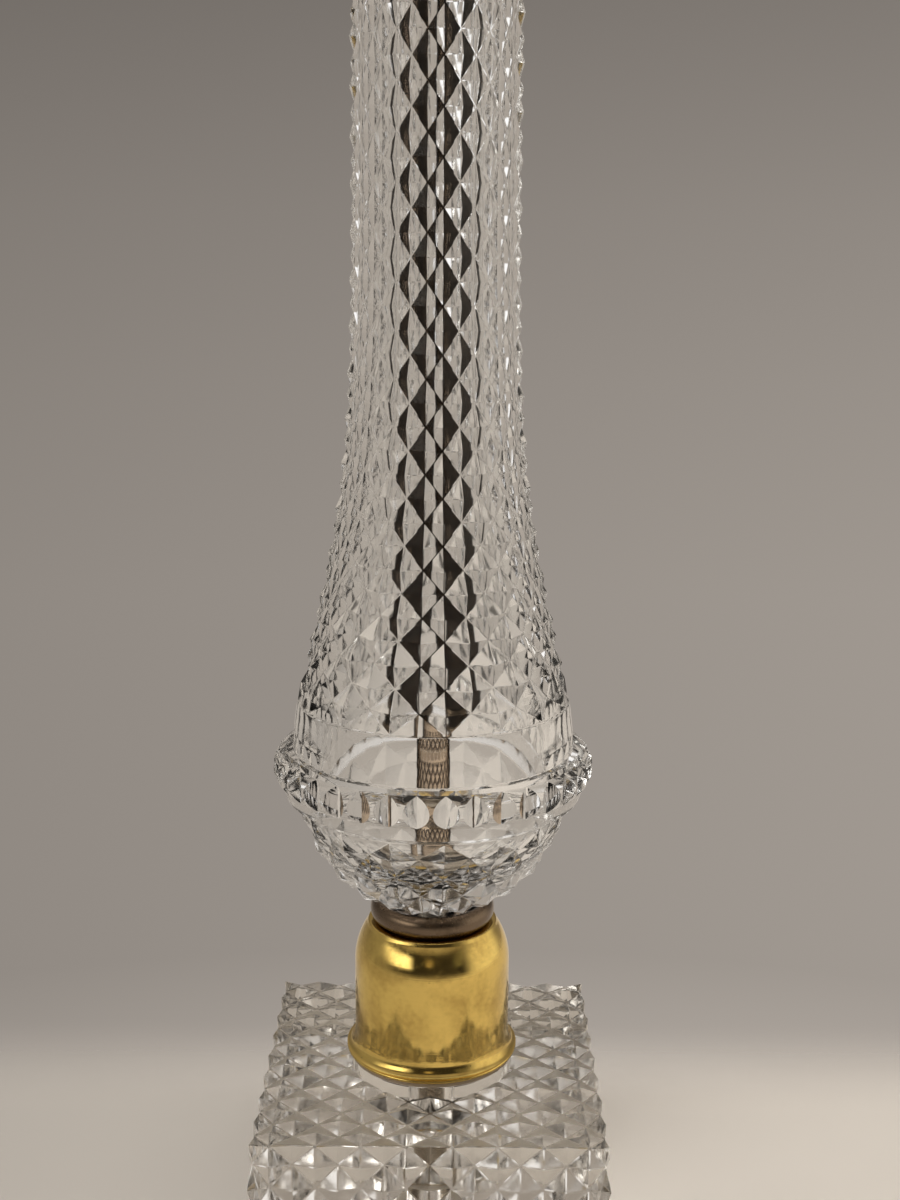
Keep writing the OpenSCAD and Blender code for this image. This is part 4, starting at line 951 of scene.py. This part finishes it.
# Gasket and cap: a soft ring lies on the column's rim, and a spun brass cap with a
# beaded skirt and a hollow-sided dome closes the top.
rim_z = 455.1
shelf_z = 456.3
fitted("top_gasket", tube(28.8, 22.9, rim_z, shelf_z, 0.3), rubber)
cap_in = 30.25
cap_out = 31.35
cap_wall = 1.1
dome_h = 12.0


def dome(inset):
    low_r = cap_out - 5.0 - inset
    return arc(low_r, dome_h - inset + cap_wall, low_r - 13.0 + inset, dome_h, 270, 180, 24)


outline = [(cap_in, 0.0), (cap_in, -6.0)] + arc(cap_out, -5.1, 0.9, 0.9, -90, 90, 14)
outline += arc(cap_out - 1.0, cap_wall - 1.0, 1.0, 1.0, 0, 90, 6) + dome(0.0)
outline += [(5.0, dome_h + cap_wall), (5.0, dome_h)] + dome(cap_wall)[::-1] + [(cap_out - 6.1, 0.0)]
fitted("top_cap", lathe([(r, z + shelf_z) for r, z in outline], 160), polished_brass, crease=50.0)


# Neck: turned from brass bar, with a bead between two coves and a flange at each end.
neck_z = 469.4
flange_r = 12.0
cove_h = 13.0 - 3.4 - 2.4
outline = eased([(5.0, 0.0), (flange_r, 0.0), (flange_r, 2.4), (flange_r - 1.4, 2.4)], 0.5)[:-4]
outline += arc(7.0 + cove_h / 2.0, 2.4 + cove_h / 2.0, cove_h / 2.0, cove_h / 2.0, 270, 90, 20)
outline += arc(9.5 - 3.4, 13.0, 3.4, 3.4, -90, 90, 24)
outline += arc(7.0 + cove_h / 2.0, 16.4 + cove_h / 2.0, cove_h / 2.0, cove_h / 2.0, 270, 90, 20)
outline += eased([(flange_r - 1.4, 23.6), (flange_r, 23.6), (flange_r, 26.0), (5.0, 26.0)], 0.5)[4:]
fitted("neck", lathe([(r, z + neck_z) for r, z in outline], 128), polished_brass, crease=50.0)


# Harp and saddle: the saddle is a brass strip bent up at both ends, with a pin riveted
# into each. The harp is a bent brass wire with a socket on each leg, locked by a
# sliding sleeve, and a threaded stud on top for the shade.
plated_brass = metal("satin_plated_brass", (0.78, 0.56, 0.23), (0.58, 0.40, 0.16), 0.22, 0.36, lines=0.3)
saddle_z = 495.4
leg_x = 23.3
post_z = 509.4
half = leg_x + 0.8
strip = [(half - 4.0, 0.0)] + arc(half - 4.0, 4.0, 4.0, 4.0, -90, 0, 10)[1:]
strip += [(half, 8.0), (half - 1.6, 8.0)] + arc(half - 4.0, 4.0, 2.4, 2.4, 0, -90, 10)
strip = strip + [(-x, y) for x, y in strip[::-1]]
stand_up = Matrix.Translation((0.0, 0.0, saddle_z)) @ Matrix.Rotation(math.radians(90.0), 4, "X")
saddle = shaped(turned_to(prism(strip, -6.0, 6.0), stand_up),
                ("UNION", rod_of(11.5, saddle_z, saddle_z + 1.6)),
                ("DIFFERENCE", rod_of(5.0, saddle_z - 1.0, saddle_z + 3.0, 64)))
posts = []
for side in (-1, 1):
    pin = lathe(eased([(0.0, post_z - 7.0), (2.6, post_z - 7.0), (2.6, post_z), (1.4, post_z),
                       (1.4, post_z + 9.0), (0.0, post_z + 9.0)], 0.4), 48)
    posts.append(("UNION", turned_to(pin, Matrix.Translation((side * leg_x, 0.0, 0.0)))))
fitted("harp_saddle", shaped(bevelled(saddle, 0.2, 40.0, 2), *posts), plated_brass)

wire, size = maker("bent_wire", {"Wire radius": 1.6, "Sides": 20}, takes_shape=True)
line = put(wire, "GeometryNodeMeshToCurve", {"Mesh": size["Shape"]})
ring = put(wire, "GeometryNodeCurvePrimitiveCircle", {"Resolution": size["Sides"], "Radius": size["Wire radius"]})
swept = put(wire, "GeometryNodeCurveToMesh", {"Curve": line, "Profile Curve": ring, "Fill Caps": True})
hand_over(wire, size, swept)

leg_z = 509.5
leg_h = 11.4
heel_z = 532.9
heel_r = 15.0
side_r = 125.0
lean_deg = 35.0
side_x = 57.5 - side_r
lean_x = side_x + side_r * math.cos(math.radians(lean_deg))
rise = (lean_x - leg_x - heel_r * (1.0 - math.cos(math.radians(lean_deg)))) / math.sin(math.radians(lean_deg))
side_z = heel_z + heel_r * math.sin(math.radians(lean_deg)) + rise * math.cos(math.radians(lean_deg))
side_z += side_r * math.sin(math.radians(lean_deg))
loop_r = lean_x / math.cos(math.radians(lean_deg))
loop_z = side_z + (side_r - loop_r) * math.sin(math.radians(lean_deg))
half_line = [(leg_x, leg_z + leg_h - 1.0)] + arc(leg_x + heel_r, heel_z, heel_r, heel_r, 180, 180 - lean_deg, 16)
half_line += arc(side_x, side_z, side_r, side_r, -lean_deg, lean_deg, 70)
half_line += arc(0.0, loop_z, loop_r, loop_r, lean_deg, 90, 34)[1:]
path = half_line + [(-x, z) for x, z in half_line[-2::-1]]
path_mesh = bpy.data.meshes.new("wire_path")
path_mesh.from_pydata([(x, 0.0, z) for x, z in path], [(n, n + 1) for n in range(len(path) - 1)], [])
harp = [facing_out(made_by(wire, plated_brass, path_mesh))]
for side in (-1, 1):
    socket = lathe(eased([(1.7, leg_z), (2.6, leg_z), (2.6, leg_z + leg_h), (0.0, leg_z + leg_h),
                          (0.0, leg_z + 9.6), (1.7, leg_z + 9.6)], 0.35), 48)
    harp.append(turned_to(socket, Matrix.Translation((side * leg_x, 0.0, 0.0))))
seat = loop_z + loop_r - 1.6
stud_z = seat + 3.6
harp.append(lathe(eased([(0.0, seat), (6.5, seat), (6.5, stud_z), (2.85, stud_z), (2.85, stud_z + 12.0),
                         (0.0, stud_z + 12.0)], 0.4), 64))
harp.append(facing_out(made_by(thread, plated_brass, Turns=11, Pitch=0.94, Start=stud_z + 0.9,
                               Root_radius=2.75, Crest_radius=3.17)))
fitted("harp", merged(*harp), plated_brass, crease=40.0)

for side, node in ((-1, "harp_sleeve_left"), (1, "harp_sleeve_right")):
    low = post_z - 5.0
    rim = [(2.9, low), (3.7, low), (3.7, low + 1.2), (3.5, low + 1.6), (3.5, low + 12.4), (3.7, low + 12.8),
           (3.7, low + 14.0), (2.9, low + 14.0)]
    sleeve = lathe(eased(rim, 0.2), 64)
    fitted(node, turned_to(sleeve, Matrix.Translation((side * leg_x, 0.0, 0.0))), plated_brass)


# Finial: turned brass, screwed onto the stud over the shade. A round foot, a waist, a
# ball and a small button.
waist_r = 5.175
ball_at = 21.0
waist_top = ball_at - math.sqrt(100.0 - waist_r ** 2)
ball_low = -math.degrees(math.acos(waist_r / 10.0))
button_r = 3.4
meet = math.degrees(math.acos(2.8 / 10.0))
outline = [(3.475, 0.0)] + eased([(5.0, 0.0), (7.5, 0.0), (7.5, 3.0), (6.7, 3.0)], 0.6)[4:12]
outline += arc(6.7, waist_top, 6.7 - waist_r, waist_top - 3.0, 270, 180, 16)
outline += arc(0.0, ball_at, 10.0, 10.0, ball_low, 73.0, 40)
outline += arc(0.0, 34.0 - button_r, button_r, button_r, -20.0, 90.0, 16)[:-1] + [(0.0, 34.0), (0.0, 13.0)]
outline += [(3.475, 13.0)]
fitted("finial", lathe([(r, z + stud_z) for r, z in outline], 128), polished_brass, crease=50.0)


# Lampholder: a spun brass cap on the rod, and a brass shell that snaps into it over a
# fibre liner. Both are lacquered.
holder_brass = metal("lacquered_brass", (0.82, 0.60, 0.25), (0.66, 0.46, 0.18), 0.12, 0.26, lines=0.5,
                     spacing=0.0004)
holder_z = 497.0
shell_r = 16.3
cap_r = 17.15
hub_r = 7.85
wall_t = 0.7
outline = eased([(5.0, 0.0), (hub_r, 0.0), (hub_r, 2.0), (hub_r + 1.0, 2.0)], 0.4)[4:8]
outline = [(5.0, 0.0)] + outline + arc(hub_r, 13.0, cap_r - hub_r, 11.0, -90, 0, 20)
outline += [(cap_r, 20.0), (cap_r - wall_t, 20.0)]
outline += arc(hub_r, 13.0, cap_r - hub_r - wall_t, 11.0 - wall_t, 0, -90, 20) + [(hub_r, 7.0), (5.0, 7.0)]
fitted("holder_cap", lathe([(r, z + holder_z) for r, z in outline], 128), holder_brass, crease=50.0)

slot_half = 3.15
shaft_z = 520.15


def shaft_slot(low):
    outline = [(-slot_half, -20.0), (slot_half, -20.0), (slot_half, -2.0), (-slot_half, -2.0)]
    return prism(outline, low - 1.0, shaft_z + slot_half)


shell_z = 510.0
outline = [(15.6, 0.0), (shell_r, 0.0), (shell_r, 8.2)] + arc(shell_r, 9.0, 0.35, 0.8, -90, 90, 8)[1:-1]
outline += [(shell_r, 9.8), (shell_r, 40.3)] + arc(16.05, 41.1, 0.9, 0.9, -60, 200, 16) + [(15.6, 40.6)]
shell = shaped(lathe([(r, z + shell_z) for r, z in outline], 128), ("DIFFERENCE", shaft_slot(shell_z)))
fitted("holder_shell", shell, holder_brass, crease=40.0)
liner = shaped(tube(15.45, 14.85, 510.5, 549.5, 0.15), ("DIFFERENCE", shaft_slot(510.5)))
fitted("holder_liner", liner, fibre, crease=40.0)


# Socket interior: a moulded switch body carries a drawn aluminium screw shell, a
# springy centre contact and two terminal screws.
black_plastic = moulding("moulded_black", (0.022, 0.020, 0.019), (0.045, 0.042, 0.038), 0.16, 0.36)
body_r = 14.7
flat_x = 11.7
drum = shaped(rod_of(body_r, 508.0, 525.0, 128),
              ("INTERSECT", prism([(-flat_x, -20.0), (flat_x, -20.0), (flat_x, 20.0), (-flat_x, 20.0)], 507.0, 526.0)),
              ("UNION", rod_of(body_r, 522.0, 525.0, 128)),
              ("DIFFERENCE", turned_to(rod_of(2.0, 0.0, 16.0, 48), Matrix.Translation((0.0, 0.0, shaft_z))
                                       @ Matrix.Rotation(math.radians(90.0), 4, "X"))),
              ("DIFFERENCE", rod_of(3.2, 507.0, 512.0, 48)))
fitted("switch_body", bevelled(drum, 0.25, 35.0, 2), black_plastic)

rolled, size = maker("rolled_thread", {"Pitch": 3.63, "Depth": 0.35, "Low": 532.0, "High": 546.0}, takes_shape=True)
place = put(rolled, "GeometryNodeInputPosition")
x, y, z = parts_of(place)
window = eased_step(z, size["Low"], size["Low"] + 2.0) * (1.0 - eased_step(z, size["High"] - 2.0, size["High"]))
wave = ((z / size["Pitch"] * (2.0 * math.pi)) - y.by("ARCTAN2", x)).by("COSINE")
swell = 1.0 + window * wave * size["Depth"] / (x * x + y * y).by("SQRT")
waved = put(rolled, "GeometryNodeSetPosition", {"Geometry": size["Shape"], "Position": xyz(rolled, x * swell, y * swell, z)})
hand_over(rolled, size, waved)
aluminium = metal("drawn_aluminium", (0.80, 0.79, 0.77), (0.60, 0.59, 0.57), 0.18, 0.34, lines=0.5)
screw_z = 525.0
bore_r = 13.2
outline = [(8.0, 0.0)] + arc(bore_r - 4.0, 4.5, 4.5, 4.5, -90, 0, 8)
outline += [(bore_r + 0.5, 4.5 + 19.5 * n / 44) for n in range(1, 45)]
outline += [(bore_r, 24.0 - 19.5 * n / 44) for n in range(44)]
outline += arc(bore_r - 4.0, 4.5, 4.0, 4.0, 0, -90, 8) + [(8.0, 0.5)]
shell = made_by(rolled, aluminium, lathe([(r, z + screw_z) for r, z in outline], 96))
fitted("screw_shell", shell, aluminium, crease=50.0)

tongue = [(-6.0, 0.0), (-1.5, 0.0), (4.0, 3.0), (5.5, 2.4), (5.5, 2.9), (4.0, 3.5), (-1.7, 0.5), (-6.0, 0.5)]
stand_up = Matrix.Translation((0.0, 0.0, screw_z)) @ Matrix.Rotation(math.radians(90.0), 4, "X")
rivet = turned_to(lathe(eased([(0.0, 0.0), (1.5, 0.0), (1.5, 1.2), (0.0, 1.2)], 0.4), 32),
                  Matrix.Translation((-4.0, 0.0, screw_z)))
contact = shaped(bevelled(turned_to(prism(eased([(x + 20, y) for x, y in tongue], 0.3), -2.5, 2.5),
                                    stand_up @ Matrix.Translation((-20.0, 0.0, 0.0))), 0.1, 30.0), ("UNION", rivet))
fitted("centre_contact", contact, raw_brass)

screws = []
for side in (-1, 1):
    head = lathe(eased([(0.0, 0.0), (3.0, 0.0), (3.0, 1.8), (0.0, 1.8)], 0.35), 48)
    cut = prism([(-4.0, -0.5), (4.0, -0.5), (4.0, 0.5), (-4.0, 0.5)], 1.0, 3.0)
    out = Matrix.Translation((side * flat_x, 0.0, 513.0)) @ Matrix.Rotation(math.radians(side * 90.0), 4, "Y")
    screws.append(turned_to(bevelled(shaped(head, ("DIFFERENCE", cut)), 0.1, 50.0), out))
fitted("terminal_screws", merged(*screws), raw_brass)


# Switch shaft and knob: a steel shaft out of the body through the slot in the shell,
# and a moulded turn knob with a flat grip pressed onto it.
from_front = Matrix.Translation((0.0, 0.0, shaft_z)) @ Matrix.Rotation(math.radians(90.0), 4, "X")
shaft = lathe(eased([(0.0, 6.7), (1.7, 6.7), (1.7, 25.8), (0.0, 25.8)], 0.3), 48)
fitted("switch_shaft", turned_to(shaft, from_front), zinc)
hub = lathe(eased([(0.0, 21.8), (3.3, 21.8), (3.7, 25.8), (3.9, 25.8), (3.9, 27.8), (0.0, 27.8)], 0.2), 64)
grip = shaped(rod_of(5.5, 23.8, 33.8, 96),
              ("INTERSECT", prism([(-6.0, -1.8), (6.0, -1.8), (6.0, 1.8), (-6.0, 1.8)], 21.0, 35.0)))
knob = shaped(bevelled(grip, 0.5, 40.0, 3), ("UNION", hub), ("DIFFERENCE", rod_of(1.7, 20.0, 25.8, 48)))
fitted("switch_knob", turned_to(knob, from_front), black_plastic, crease=36.0)
